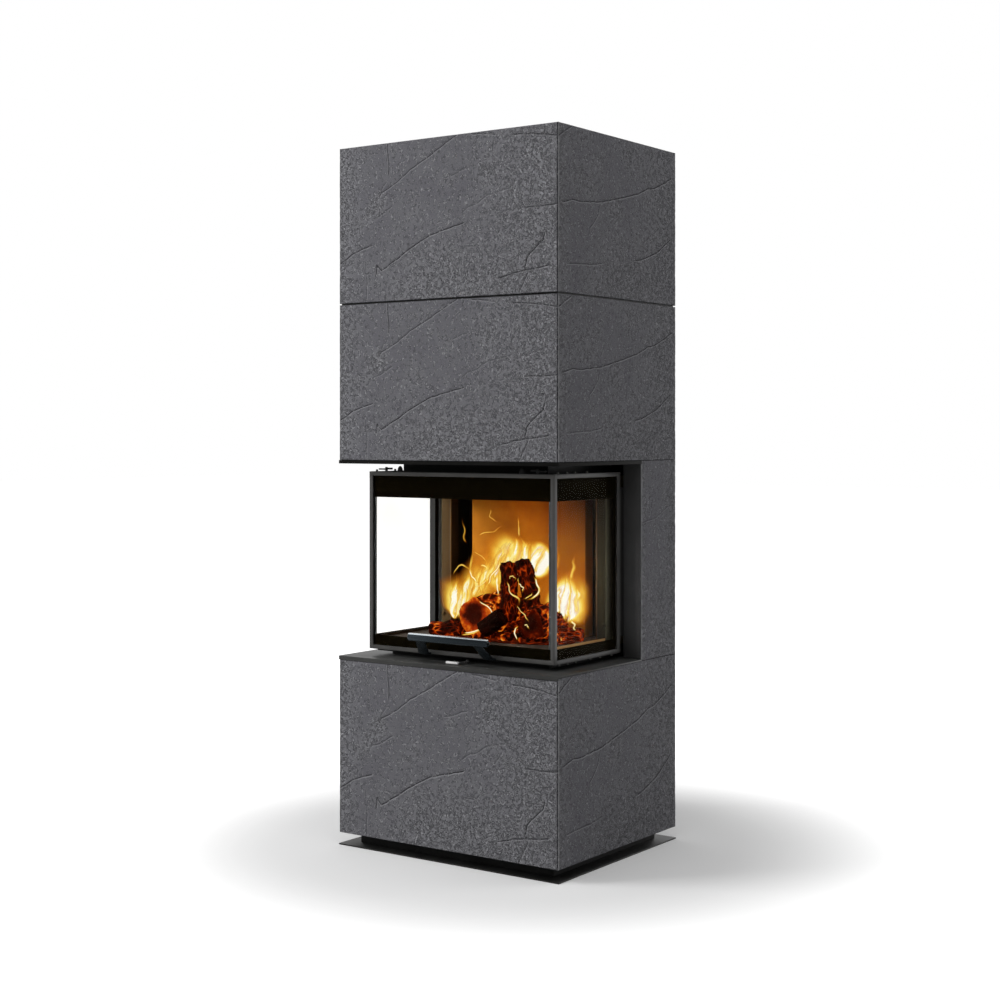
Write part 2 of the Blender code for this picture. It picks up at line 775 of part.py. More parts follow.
def build_smoke_path(steel):
    # Smoke chamber: a welded box, open at the bottom, with a round hole for the flue
    shape = bmesh.new()
    add_box(shape, (-chamber_half_width, chamber_front_y, chamber_low), (chamber_half_width, chamber_rear_y, chamber_top))
    chamber = make("smoke_chamber", shape, steel)
    hollow = bmesh.new()
    add_box(hollow, (chamber_wall - chamber_half_width, chamber_front_y + chamber_wall, chamber_low - cut_overrun),
            (chamber_half_width - chamber_wall, chamber_rear_y - chamber_wall, chamber_top - chamber_wall))
    cut(chamber, hollow)
    inner_radius = flue_radius - flue_wall
    hole = bmesh.new()
    add_rod(hole, (0, flue_y), inner_radius, chamber_top - chamber_wall - cut_overrun, chamber_top + cut_overrun,
            "z", flue_steps)
    cut(chamber, hole)

    # Flue pipe with a bolted flange
    low = chamber_top + seat
    high = top_top - flue_below_top
    step_z = low + flue_flange_thickness
    profile = [(inner_radius, low), (flue_flange_radius, low), (flue_flange_radius, step_z), (flue_radius, step_z),
               (flue_radius, high), (inner_radius, high)]
    shape = bmesh.new()
    add_turned(shape, profile, (0, flue_y, 0), "z", flue_steps)
    make("flue_pipe", shape, steel, math.radians(40))


def ring_frame(shape, low, high, inner_low, inner_high, near, far, axis):
    # A rectangular frame of four welded bars, as one closed solid.
    corners = [(low[0], low[1]), (high[0], low[1]), (high[0], high[1]), (low[0], high[1])]
    inner = [(inner_low[0], inner_low[1]), (inner_high[0], inner_low[1]), (inner_high[0], inner_high[1]),
             (inner_low[0], inner_high[1])]

    def place(point, level):
        return (point[0], level, point[1]) if axis == "y" else (level, point[0], point[1])

    loops = []
    for points, level in ((corners, near), (corners, far), (inner, far), (inner, near)):
        loops.append([shape.verts.new(place(point, level)) for point in points])
    faces = []
    for index in range(4):
        here = loops[index]
        beyond = loops[(index + 1) % 4]
        for step in range(4):
            following = (step + 1) % 4
            faces.append(shape.faces.new((here[step], here[following], beyond[following], beyond[step])))
    bmesh.ops.recalc_face_normals(shape, faces=faces)


def build_door(steel, glass, dark_steel):
    pieces = []
    rail_low = door_low + door_rail
    rail_high = door_top - door_rail
    front_inner_y = door_front_y + door_profile

    # Front frame
    shape = bmesh.new()
    ring_frame(shape, (-door_half_width, door_low), (door_half_width, door_top),
               (door_post - door_half_width, rail_low), (door_half_width - door_post, rail_high),
               door_front_y, front_inner_y, "y")
    outer = [edge for edge in shape.edges
             if all(abs(abs(vert.co.x) - door_half_width) < seat and vert.co.y < front_inner_y - seat
                    for vert in edge.verts)]
    bevel_edges(shape, outer, door_chamfer)
    pieces.append(make("door_frame_front", shape, steel))

    # Side frames: rails and a rear post; the side glass meets the front frame
    y_start = front_inner_y + seat
    y_post = door_rear_y - door_rear_post
    for name, side in (("door_frame_right", 1), ("door_frame_left", -1)):
        outline = [(y_start, door_low), (door_rear_y, door_low), (door_rear_y, door_top), (y_start, door_top),
                   (y_start, rail_high), (y_post, rail_high), (y_post, rail_low), (y_start, rail_low)]
        x_pair = sorted((side * door_half_width, side * (door_half_width - door_profile)))
        shape = bmesh.new()
        add_prism(shape, outline, x_pair[0], x_pair[1], "x")
        pieces.append(make(name, shape, steel))

    # Panes, a little behind the outer faces
    glass_front = door_front_y + glass_recess
    pieces.append(make_box("glass_front", (door_post + seat - door_half_width, glass_front, rail_low + seat),
                           (door_half_width - door_post - seat, glass_front + glass_thickness, rail_high - seat),
                           glass))
    x_outer = door_half_width - glass_recess
    sides = both_sides((x_outer - glass_thickness, y_start, rail_low + seat), (x_outer, y_post - seat, rail_high - seat))
    for name, (low, high) in zip(("glass_right", "glass_left"), sides):
        pieces.append(make_box(name, low, high, glass))

    # Handle bar: an oval bar with chamfered ends
    bar_y = door_front_y - handle_front_reach + handle_depth / 2
    bar_z = door_low + handle_centre_height
    section = []
    for step in range(handle_sides):
        angle = 2 * math.pi * (step + 0.5) / handle_sides
        section.append((math.copysign(abs(math.cos(angle)) ** handle_round_share, math.cos(angle)) * handle_depth / 2,
                        math.copysign(abs(math.sin(angle)) ** handle_round_share, math.sin(angle)) * handle_height / 2))
    shape = bmesh.new()
    rings = []
    stations = [(-handle_length / 2, 1 - 2 * handle_end_chamfer / handle_height),
                (handle_end_chamfer - handle_length / 2, 1),
                (handle_length / 2 - handle_end_chamfer, 1),
                (handle_length / 2, 1 - 2 * handle_end_chamfer / handle_height)]
    for x_place, size_share in stations:
        rings.append([shape.verts.new((x_place, bar_y + size_share * y, bar_z + size_share * z)) for y, z in section])
    for first, second in zip(rings, rings[1:]):
        for step in range(handle_sides):
            following = (step + 1) % handle_sides
            shape.faces.new((first[step], first[following], second[following], second[step]))
    shape.faces.new(rings[0])
    shape.faces.new(rings[-1])
    bmesh.ops.recalc_face_normals(shape, faces=shape.faces[:])
    handle = make("door_handle", shape, dark_steel, math.radians(50))

    # Its arms: flat plates that rise from the lower rail to the bar
    y_wall = door_front_y - seat
    head_z = bar_z - handle_height / 4
    foot_low = door_low + seat
    y_head = bar_y - arm_thickness / 2
    outline = [(y_wall, foot_low + arm_thickness), (y_wall, foot_low), (y_wall - arm_foot_reach, foot_low),
               (y_head, head_z), (y_head + arm_thickness, head_z),
               (y_wall - arm_foot_reach + arm_thickness / 2, foot_low + arm_thickness)]
    shape = bmesh.new()
    for side in (-1, 1):
        x_mid = side * arm_spacing / 2
        add_prism(shape, outline, x_mid - arm_width / 2, x_mid + arm_width / 2, "x")
    join(handle, shape)
    pieces.append(handle)

    # Latches of the side windows: a flat bar on a pin near each front corner
    y_mid = door_front_y + door_profile / 2
    bar_low = door_top + latch_bar_rise
    for name, side in (("latch_right", 1), ("latch_left", -1)):
        x_pin = side * latch_spacing / 2
        shape = bmesh.new()
        add_rod(shape, (x_pin, y_mid), latch_pin_radius, door_top + seat, door_top + latch_pin_height, "z", round_steps)
        latch = make(name, shape, dark_steel)
        x_ends = sorted((x_pin, x_pin + side * latch_bar_length))
        join(latch, boxes_shape([((x_ends[0], y_mid - latch_bar_width / 2, bar_low),
                                  (x_ends[1], y_mid + latch_bar_width / 2, bar_low + latch_bar_thickness))]))
        pieces.append(latch)

    # Carriages: a plate behind each side frame with two bush blocks on the guide rod
    for suffix, side in (("_right", 1), ("_left", -1)):
        x_mid = side * guide_x
        carriage = make_box("carriage" + suffix, (x_mid - carriage_thickness / 2, door_rear_y + seat, carriage_low),
                            (x_mid + carriage_thickness / 2, bush_block_front_y + cable_radius, carriage_high), dark_steel)
        join(carriage, boxes_shape([((x_mid - bush_block_half_width, bush_block_front_y, low),
                                     (x_mid + bush_block_half_width, bush_block_rear_y, low + bush_block_height))
                                    for low in (carriage_low, carriage_high - bush_block_height)]))
        bore = bmesh.new()
        add_rod(bore, (x_mid, guide_y), guide_radius + bush_clearance, carriage_low - cut_overrun,
                carriage_high + cut_overrun, "z", guide_steps)
        cut(carriage, bore)
        pieces.append(carriage)

        # Cable run from the carriage up to the pulley
        shape = bmesh.new()
        add_rod(shape, (x_mid, cable_front_y), cable_radius, carriage_high + seat, shaft_height - seat, "z", cable_sides)
        pieces.append(make("door_cable" + suffix, shape, steel, math.radians(60)))
    hang_on(joint_empty("door_lift_joint", (0, door_rear_y, door_low)), pieces)


def build_lift_mechanism(steel, dark_steel, cast_iron):
    # Guide rods
    for name, side in (("guide_rod_right", 1), ("guide_rod_left", -1)):
        shape = bmesh.new()
        add_rod(shape, (side * guide_x, guide_y), guide_radius, shelf_top + seat, guide_top, "z", guide_steps)
        make(name, shape, steel, math.radians(40))

    # Mechanism plate: a sheet across the posts, with lugs for the shaft and ears for the rods' heads
    lug_out = post_outer_x + lug_offset + lug_thickness
    lug_in = lug_out - lug_thickness
    y_plate = post_front_y - seat
    plate_high = shaft_height + lug_height / 2
    plate = make_box("mechanism_plate", (-lug_out, y_plate - plate_thickness, plate_low),
                     (lug_out, y_plate, plate_high), dark_steel)
    ear_high = plate_low + plate_thickness
    y_ear = guide_y - ear_margin
    for side in (-1, 1):
        lug = bmesh.new()
        ear = bmesh.new()
        x_lug = sorted((side * lug_in, side * lug_out))
        add_box(lug, (x_lug[0], shaft_y - lug_nose, shaft_height - lug_height / 2), (x_lug[1], y_plate, plate_high))
        outline = [(side * lug_in, y_plate), (side * lug_in, y_ear), (side * (guide_x + ear_margin), y_ear),
                   (side * (guide_x + ear_margin), guide_y + ear_margin),
                   (side * (lug_in + ear_width), guide_y + ear_margin), (side * (lug_in + ear_width), y_plate)]
        add_prism(ear, outline, plate_low, ear_high)
        join(plate, lug)
        join(plate, ear)
    holes = bmesh.new()
    for side in (-1, 1):
        add_rod(holes, (side * guide_x, guide_y), guide_radius + seat, plate_low - cut_overrun,
                ear_high + cut_overrun, "z", guide_steps)
    add_rod(holes, (shaft_y, shaft_height), shaft_radius + shaft_clearance, -lug_out - cut_overrun,
            lug_out + cut_overrun, "x", round_steps)
    cut(plate, holes)

    # Shaft with a grooved pulley near each end
    shape = bmesh.new()
    x_shaft = guide_x + pulley_hub_width / 2 + shaft_overhang
    add_rod(shape, (shaft_y, shaft_height), shaft_radius, -x_shaft, x_shaft, "x", round_steps)
    turning = [make("lift_shaft", shape, steel, math.radians(40))]
    groove_radius = pulley_pitch_radius - cable_radius - seat
    bore_radius = shaft_radius + seat
    half_groove = cable_radius + cable_groove_clearance
    half_rim = pulley_width / 2
    half_hub = pulley_hub_width / 2
    profile = [(bore_radius, -half_hub), (pulley_hub_radius, -half_hub), (pulley_hub_radius, -half_rim),
               (pulley_rim_radius, -half_rim), (groove_radius, -half_groove), (groove_radius, half_groove),
               (pulley_rim_radius, half_rim), (pulley_hub_radius, half_rim), (pulley_hub_radius, half_hub),
               (bore_radius, half_hub)]
    for name, side in (("pulley_right", 1), ("pulley_left", -1)):
        shape = bmesh.new()
        add_turned(shape, profile, (side * guide_x, shaft_y, shaft_height), "x", pulley_steps)
        turning.append(make(name, shape, cast_iron, math.radians(40)))
    hang_on(joint_empty("lift_shaft_joint", (0, shaft_y, shaft_height)), turning)

    # Counterweight bar on the rear cable runs
    shape = bmesh.new()
    add_box(shape, (-weight_half_length, cable_rear_y - weight_depth / 2, weight_top - weight_height),
            (weight_half_length, cable_rear_y + weight_depth / 2, weight_top))
    bevel_edges(shape, shape.edges[:], weight_chamfer)
    falling = [make("counterweight", shape, cast_iron)]
    for name, side in (("weight_cable_right", 1), ("weight_cable_left", -1)):
        shape = bmesh.new()
        add_rod(shape, (side * guide_x, cable_rear_y), cable_radius, weight_top + seat, shaft_height - seat,
                "z", cable_sides)
        falling.append(make(name, shape, steel, math.radians(60)))
    hang_on(joint_empty("counterweight_joint", (0, cable_rear_y, weight_top)), falling)


def build_air_control(steel, dark_steel, bright_steel):
    # Air box under the shelf plate, open at the top, with an inlet spigot
    high = shelf_low - seat
    low = high - air_box_depth
    shape = bmesh.new()
    add_box(shape, (-air_box_half_width, air_box_front_y, low), (air_box_half_width, air_box_rear_y, high))
    box = make("air_box", shape, steel)
    hollow = bmesh.new()
    add_box(hollow, (air_box_wall - air_box_half_width, air_box_front_y + air_box_wall, low + air_box_wall),
            (air_box_half_width - air_box_wall, air_box_rear_y - air_box_wall, high + cut_overrun))
    cut(box, hollow)
    spigot = bmesh.new()
    add_rod(spigot, (0, spigot_y), spigot_radius, low - spigot_length, low + air_box_wall / 2, "z", flue_steps)
    join(box, spigot)
    bore = bmesh.new()
    add_rod(bore, (0, spigot_y), spigot_radius - spigot_wall, low - spigot_length - cut_overrun,
            low + air_box_wall + cut_overrun, "z", flue_steps)
    cut(box, bore)

    # Lever: a hub with a slim arm to the right end of the tab, on a spindle through the shelf plate that
    # carries the damper under the air hole
    pivot = (lever_pivot_x, lever_pivot_y)
    disc_high = shelf_low - damper_drop
    disc_low = disc_high - damper_thickness
    lever_low = shelf_top + lever_gap
    lever_high = lever_low + lever_thickness
    tab_rear = tab_front_y + tab_depth
    tab_right = tab_left_x + tab_length
    shape = bmesh.new()
    add_rod(shape, pivot, lever_hub_radius, lever_low, lever_high, "z", round_steps)
    lever = make("air_lever", shape, dark_steel)
    arm = bmesh.new()
    outline = [(tab_right - lever_width, tab_rear + seat), (tab_right, tab_rear + seat),
               (lever_pivot_x + lever_width / 2, lever_pivot_y), (lever_pivot_x - lever_width / 2, lever_pivot_y)]
    add_prism(arm, outline, lever_low, lever_high)
    join(lever, arm)
    screw = bmesh.new()
    add_rod(screw, pivot, lever_screw_radius, lever_low, lever_high + lever_screw_height, "z", round_steps)
    join(lever, screw)
    spindle = bmesh.new()
    add_rod(spindle, pivot, spindle_radius, disc_low, lever_low + lever_thickness / 2, "z", round_steps)
    join(lever, spindle)
    tongue = bmesh.new()
    add_box(tongue, (lever_pivot_x - spindle_radius, lever_pivot_y, disc_low),
            (lever_pivot_x + spindle_radius, lever_pivot_y + damper_reach, disc_high))
    join(lever, tongue)
    disc = bmesh.new()
    add_rod(disc, (lever_pivot_x, lever_pivot_y + damper_reach), damper_radius, disc_low, disc_high, "z", round_steps)
    join(lever, disc)
    z_mid = (lever_low + lever_high) / 2
    shape = bmesh.new()
    add_box(shape, (tab_left_x, tab_front_y, z_mid - tab_height / 2), (tab_right, tab_rear, z_mid + tab_height / 2))
    bevel_edges(shape, shape.edges[:], tab_bevel)
    tab = make("air_tab", shape, bright_steel)
    hang_on(joint_empty("air_lever_joint", (lever_pivot_x, lever_pivot_y, lever_low)), [lever, tab])


# Section of a split log: places across it as shares of its radius, and up it as shares of its height
log_section_shares = [(-0.86, 0.0), (0.90, 0.0), (1.0, 0.34), (0.74, 0.76), (0.0, 1.0), (-0.66, 0.82), (-1.0, 0.40)]
# Along the log: place as a share of its length, and the section's size, sideways shift and height as shares
log_station_shares = [(0.0, 0.88, 0.02, 0.92), (0.12, 0.98, -0.02, 0.98), (0.40, 1.0, 0.03, 1.0),
                      (0.72, 1.0, -0.03, 1.0), (0.92, 0.95, 0.02, 0.96), (1.0, 0.84, 0.0, 0.88)]


def split_log(name, centre, low, radius, height, length, yaw, material):
    along = Vector((math.cos(yaw), math.sin(yaw), 0))
    across = Vector((-along.y, along.x, 0))
    shape = bmesh.new()
    rings = []
    for place_share, size_share, shift_share, top_share in log_station_shares:
        middle = Vector((centre[0], centre[1], low)) + along * (place_share - 0.5) * length
        middle += across * shift_share * radius
        rings.append([shape.verts.new(middle + across * side * size_share * radius
                                      + Vector((0, 0, up * top_share * height)))
                      for side, up in log_section_shares])
    for first, second in zip(rings, rings[1:]):
        for index in range(len(log_section_shares)):
            following = (index + 1) % len(log_section_shares)
            shape.faces.new((first[index], first[following], second[following], second[index]))
    shape.faces.new(rings[0])
    shape.faces.new(rings[-1])
    bmesh.ops.triangulate(shape, faces=shape.faces[:])
    bmesh.ops.recalc_face_normals(shape, faces=shape.faces[:])
    return make(name, shape, material)


# Ember mound: rings from the foot to the flat crown, as shares of its size and of its height
ember_ring_shares = [(1.0, 0.0), (0.97, 0.25), (0.88, 0.70), (0.72, 1.0)]
ember_wave_share = 0.06


def build_fire(bark, embers):
    low = hearth_top + seat
    shape = bmesh.new()
    rings = []
    for size_share, height_share in ember_ring_shares:
        ring = []
        for step in range(ember_steps):
            angle = 2 * math.pi * step / ember_steps
            wave = 1 + ember_wave_share * math.sin(5 * angle) * math.cos(3 * angle)
            ring.append(shape.verts.new((ember_centre_x + ember_half_length * size_share * wave * math.cos(angle),
                                         ember_centre_y + ember_half_depth * size_share * wave * math.sin(angle),
                                         low + ember_height * height_share)))
        rings.append(ring)
    for first, second in zip(rings, rings[1:]):
        for step in range(ember_steps):
            following = (step + 1) % ember_steps
            shape.faces.new((first[step], first[following], second[following], second[step]))
    shape.faces.new(rings[0])
    shape.faces.new(rings[-1])
    bmesh.ops.recalc_face_normals(shape, faces=shape.faces[:])
    make("ember_bed", shape, embers, math.radians(30))

    crown = low + ember_height + seat
    split_log("log_left", (log_left_x, log_left_y), crown, log_left_radius, log_left_height, log_left_length,
              log_left_turn, bark)
    right = split_log("log_right", (log_right_x, log_right_y), crown, log_right_radius, log_right_height,
                      log_right_length, log_right_turn, bark)

    # A charred branch that leans up from the right log
    branch = bmesh.new()
    rings = []
    for x_end, rise, size_share in ((branch_foot_x, branch_foot_rise, 1), (branch_head_x, branch_head_rise,
                                                                          branch_tip_share)):
        ring = []
        for side in range(branch_sides):
            angle = 2 * math.pi * side / branch_sides
            ring.append(branch.verts.new((x_end + branch_half_width * size_share * math.cos(angle),
                                          log_right_y + branch_half_depth * size_share * math.sin(angle),
                                          crown + rise)))
        rings.append(ring)
    for side in range(branch_sides):
        following = (side + 1) % branch_sides
        branch.faces.new((rings[0][side], rings[0][following], rings[1][following], rings[1][side]))
    branch.faces.new(rings[0])
    branch.faces.new(rings[1])
    bmesh.ops.recalc_face_normals(branch, faces=branch.faces[:])
    join(right, branch)


def build():
    for old in list(bpy.data.objects):
        bpy.data.objects.remove(old, do_unlink=True)
    stone = finish("slate_grey_stone", (0.125, 0.120, 0.132), 0.85, 0.0)
    black_steel = finish("black_painted_steel", (0.012, 0.012, 0.011), 0.5, 0.6)
    grey_steel = finish("grey_painted_steel", (0.075, 0.073, 0.066), 0.45, 0.7)
    plain_steel = finish("plain_steel", (0.42, 0.42, 0.43), 0.35, 1.0)
    bright_steel = finish("bright_steel", (0.80, 0.78, 0.74), 0.25, 1.0)
    cast_iron = finish("cast_iron", (0.035, 0.035, 0.036), 0.6, 0.8)
    glass = finish("ceramic_glass", (0.75, 0.76, 0.72), 0.05, 0.0)
    chamotte = finish("chamotte", (0.35, 0.20, 0.10), 0.9, 0.0)
    vermiculite = finish("vermiculite", (0.45, 0.33, 0.20), 0.95, 0.0)
    rope = finish("fibre_rope", (0.05, 0.05, 0.05), 0.95, 0.0)
    bark = finish("charred_wood", (0.045, 0.022, 0.012), 0.9, 0.0)
    embers = finish("embers", (0.50, 0.11, 0.01), 0.9, 0.0)
    build_cladding(stone, black_steel)
    build_base(black_steel)
    build_shelf_and_lintel(black_steel)
    build_support_frame(plain_steel)
    build_covers(black_steel)
    build_firebox(black_steel, chamotte, vermiculite, rope)
    build_smoke_path(black_steel)
    build_door(grey_steel, glass, black_steel)
    build_lift_mechanism(plain_steel, black_steel, cast_iron)
    build_air_control(plain_steel, black_steel, bright_steel)
    build_fire(bark, embers)


build()
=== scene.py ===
import json
import math
import random
import bpy
import numpy as np
from mathutils import Matrix, Vector, noise

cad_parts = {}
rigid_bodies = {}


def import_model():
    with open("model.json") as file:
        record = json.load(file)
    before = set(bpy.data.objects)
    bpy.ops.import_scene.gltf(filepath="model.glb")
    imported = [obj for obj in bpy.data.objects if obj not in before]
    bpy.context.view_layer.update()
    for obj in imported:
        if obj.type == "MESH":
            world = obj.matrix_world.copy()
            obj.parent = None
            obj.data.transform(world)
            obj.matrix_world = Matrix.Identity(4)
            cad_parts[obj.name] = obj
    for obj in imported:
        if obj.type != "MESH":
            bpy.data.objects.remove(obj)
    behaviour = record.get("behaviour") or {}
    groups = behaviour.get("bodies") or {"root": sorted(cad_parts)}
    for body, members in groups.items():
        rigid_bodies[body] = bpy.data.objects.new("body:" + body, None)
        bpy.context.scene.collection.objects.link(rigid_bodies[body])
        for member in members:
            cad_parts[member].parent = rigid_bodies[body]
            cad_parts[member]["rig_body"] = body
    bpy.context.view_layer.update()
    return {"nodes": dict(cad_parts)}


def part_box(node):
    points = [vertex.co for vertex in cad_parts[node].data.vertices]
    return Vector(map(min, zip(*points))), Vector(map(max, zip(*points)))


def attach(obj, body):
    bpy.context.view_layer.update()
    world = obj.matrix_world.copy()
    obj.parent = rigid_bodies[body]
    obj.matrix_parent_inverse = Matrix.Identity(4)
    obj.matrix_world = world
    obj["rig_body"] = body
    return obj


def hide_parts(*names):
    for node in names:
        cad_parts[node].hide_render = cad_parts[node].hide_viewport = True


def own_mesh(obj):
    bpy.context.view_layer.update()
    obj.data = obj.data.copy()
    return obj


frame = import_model()
nodes = frame["nodes"]
mm = 0.001


# selecting and placing by hand, in code

def deselect():
    if bpy.context.object and bpy.context.object.mode != "OBJECT":
        bpy.ops.object.mode_set(mode="OBJECT")
    bpy.ops.object.select_all(action="DESELECT")


def work(piece):    # one piece selected and active
    deselect()
    piece.select_set(True)
    bpy.context.view_layer.objects.active = piece


def pick(piece, kind, test):    # selects what passes the test, and stays in edit mode
    work(piece)
    bpy.ops.object.mode_set(mode="EDIT")
    bpy.ops.mesh.select_mode(type=kind)
    bpy.ops.mesh.select_all(action="DESELECT")
    bpy.ops.object.mode_set(mode="OBJECT")
    mesh = piece.data
    for part in {"VERT": mesh.vertices, "EDGE": mesh.edges, "FACE": mesh.polygons}[kind]:
        part.select = test(part)
    bpy.ops.object.mode_set(mode="EDIT")


def turnOutwards():    # ends an edit: all faces point out of the closed mesh
    bpy.ops.mesh.select_all(action="SELECT")
    bpy.ops.mesh.normals_make_consistent(inside=False)
    bpy.ops.object.mode_set(mode="OBJECT")


def applyModifiers(piece):
    work(piece)
    for modifier in list(piece.modifiers):
        bpy.ops.object.modifier_apply(modifier=modifier.name)


def joinUp(pieces):
    deselect()
    for piece in pieces:
        piece.select_set(True)
    bpy.context.view_layer.objects.active = pieces[0]
    bpy.ops.object.join()
    return pieces[0]


def readPoints(piece):
    points = np.empty(len(piece.data.vertices) * 3)
    piece.data.vertices.foreach_get("co", points)
    return points.reshape(-1, 3)


def writePoints(piece, points):
    piece.data.vertices.foreach_set("co", points.ravel())
    piece.data.update()


def writeAttribute(piece, name, values):
    attribute = piece.data.attributes.new(name, "FLOAT", "POINT")
    attribute.data.foreach_set("value", np.asarray(values, np.float32))


def settle(piece, name, material, body="root", replaced=()):
    # a finished piece: its place goes into its mesh, and it rides on its body
    work(piece)
    bpy.ops.object.transform_apply(location=True, rotation=True, scale=True)
    piece.name = piece.data.name = name
    piece.data.materials.clear()
    piece.data.materials.append(material)
    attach(piece, body)
    if replaced:
        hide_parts(*replaced)
    return piece


# colours and nodes

def linear(code):    # "#a1b2c3" as written on a colour card, to linear light
    parts = [int(code[i:i + 2], 16) / 255 for i in (1, 3, 5)]
    return [*(c / 12.92 if c <= 0.04045 else ((c + 0.055) / 1.055) ** 2.4 for c in parts), 1]


def socketValue(value):    # a colour code as a colour, and all else as it is
    return linear(value) if isinstance(value, str) else value


def connect(node, links):    # each link comes from a socket, or from the first socket of a node
    for key, source in links.items():
        if isinstance(source, bpy.types.Node):
            source = source.outputs[0]
        node.id_data.links.new(source, node.inputs[key])


def addNode(tree, kind, settings={}, links={}):
    node = tree.nodes.new("ShaderNode" + kind)
    for key, value in settings.items():
        if key == "stops":    # a ramp's colours, as (place, colour)
            ends = node.color_ramp.elements[0], node.color_ramp.elements[1]
            for end, (place, code) in zip(ends, (value[0], value[-1])):
                end.position, end.color = place, linear(code)
            for place, code in value[1:-1]:
                node.color_ramp.elements.new(place).color = linear(code)
        elif isinstance(key, int) or key in node.inputs:
            node.inputs[key].default_value = socketValue(value)
        else:
            setattr(node, key, value)
    connect(node, links)
    return node


def newMaterial(name, **sockets):    # a Principled surface, its tree and its Object coordinates
    material = bpy.data.materials.new(name)
    material.use_nodes = True
    tree = material.node_tree
    surface = tree.nodes["Principled BSDF"]
    for key, value in sockets.items():
        surface.inputs[key.replace("_", " ")].default_value = socketValue(value)
    return material, tree, surface, addNode(tree, "TexCoord").outputs["Object"]


# camera, light and floor

view = {
    "place": (2.8196, -4.0159, 1.1752),
    "turn": 35.362,       # degrees, from the right of the tower's front
    "lens": 61.496,
    "shift": -0.0677,
}
light = {
    "ambient": 0.2,
    "frontDusk": 0.1,      # what paint and glass mirror of the studio behind the camera
    "keyPlace": (-4.2, -3.8, 2.7), "keySize": 2.6, "keyPower": 245,
    "fillPlace": (3.4, 2.6, 4.4), "fillSize": 2.0, "fillPower": 25,
    "topPlace": (0, -0.4, 4.4), "topSize": 5.0, "topPower": 110,
    "aim": (0, 0, 1.0),
    "floorSize": 60, "floorGlow": 0.1, "floorColour": "#e6e6e6",
    "floorFadeFrom": 0.6, "floorFadeTo": 1.5,    # metres from the tower at which the paper goes plain white
    "leaves": 96,          # how many thin flames a line of sight may pass
}


def addCamera():
    bpy.ops.object.camera_add(location=view["place"], rotation=(math.radians(90), 0, math.radians(view["turn"])))
    camera = bpy.context.object
    camera.data.lens = view["lens"]
    camera.data.shift_y = view["shift"]
    bpy.context.scene.camera = camera


def seenRays(tree):    # 1 for what the camera sees, straight, mirrored or through glass
    rays = addNode(tree, "LightPath")
    mirrored = addNode(tree, "Math", {"operation": "MAXIMUM"},
                       {0: rays.outputs["Is Camera Ray"], 1: rays.outputs["Is Glossy Ray"]})
    return addNode(tree, "Math", {"operation": "MAXIMUM"}, {0: mirrored, 1: rays.outputs["Is Transmission Ray"]})


def dusk(tree, source, start, end):    # dims what gloss mirrors of the side that the camera stands on
    fade = addNode(tree, "MapRange", {"From Min": start, "From Max": end, "To Min": light["frontDusk"], "To Max": 1.0},
                   {"Value": source})
    rays = addNode(tree, "LightPath")
    return addNode(tree, "Mix", {0: 1.0, 2: 1.0}, {0: rays.outputs["Is Glossy Ray"], 3: fade})


def addWorld():
    world = bpy.data.worlds.new("white_studio")
    world.use_nodes = True
    bpy.context.scene.world = world
    tree = world.node_tree
    tree.nodes.clear()
    soft = addNode(tree, "Background", {"Color": "#ffffff", "Strength": light["ambient"]})
    ray = addNode(tree, "SeparateXYZ", {}, {0: addNode(tree, "TexCoord").outputs["Generated"]})
    white = addNode(tree, "Background", {"Color": "#ffffff"}, {"Strength": dusk(tree, ray.outputs["Y"], -0.75, 0.1)})
    mixed = addNode(tree, "MixShader", {}, {0: seenRays(tree), 1: soft, 2: white})
    addNode(tree, "OutputWorld", {}, {"Surface": mixed})


def addLamps():
    for name in ("key", "fill", "top"):
        place = Vector(light[name + "Place"])
        bpy.ops.object.light_add(type="AREA", location=place)
        lamp = bpy.context.object
        lamp.name = name + "_light"
        lamp.rotation_euler = (Vector(light["aim"]) - place).to_track_quat("-Z", "Y").to_euler()
        lamp.data.size = light[name + "Size"]
        lamp.data.energy = light[name + "Power"]
        lamp.visible_glossy = False    # a soft box shows no hard square in the paint


def addFloor():
    bpy.ops.mesh.primitive_plane_add(size=light["floorSize"])
    floor = bpy.context.object
    floor.name = "studio_floor"
    # matt background paper that fades to plain white away from the tower
    material, tree, surface, coords = newMaterial("studio_paper", Roughness=1.0, Specular_IOR_Level=0)
    reach = addNode(tree, "VectorMath", {"operation": "LENGTH"}, {0: coords})
    fade = addNode(tree, "MapRange", {"interpolation_type": "SMOOTHSTEP", "From Min": light["floorFadeFrom"],
                                      "From Max": light["floorFadeTo"], "To Min": light["floorGlow"], "To Max": 1.0},
                   {"Value": reach.outputs["Value"]})
    strength = addNode(tree, "Math", {"operation": "MULTIPLY"}, {0: seenRays(tree), 1: fade})
    place = addNode(tree, "SeparateXYZ", {}, {0: coords})
    dim = dusk(tree, place.outputs["Y"], -1.2, 0.5)
    paper = addNode(tree, "MixRGB", {"blend_type": "MULTIPLY", "Fac": 1.0, "Color1": light["floorColour"]},
                    {"Color2": dim})
    connect(surface, {"Base Color": paper})
    dimmed = addNode(tree, "Math", {"operation": "MULTIPLY"}, {0: strength, 1: dim})
    glow = addNode(tree, "Emission", {"Color": "#ffffff"}, {"Strength": dimmed})
    summed = addNode(tree, "AddShader", {}, {0: surface, 1: glow})
    connect(tree.nodes["Material Output"], {"Surface": summed})
    floor.data.materials.append(material)


deselect()
bpy.context.scene.view_settings.view_transform = "Standard"
bpy.context.scene.cycles.transparent_max_bounces = light["leaves"]
addCamera()
addWorld()
addLamps()
addFloor()
print("camera, light and floor are set")


# the stone cladding: slate-pattern panels cast from one mould per side

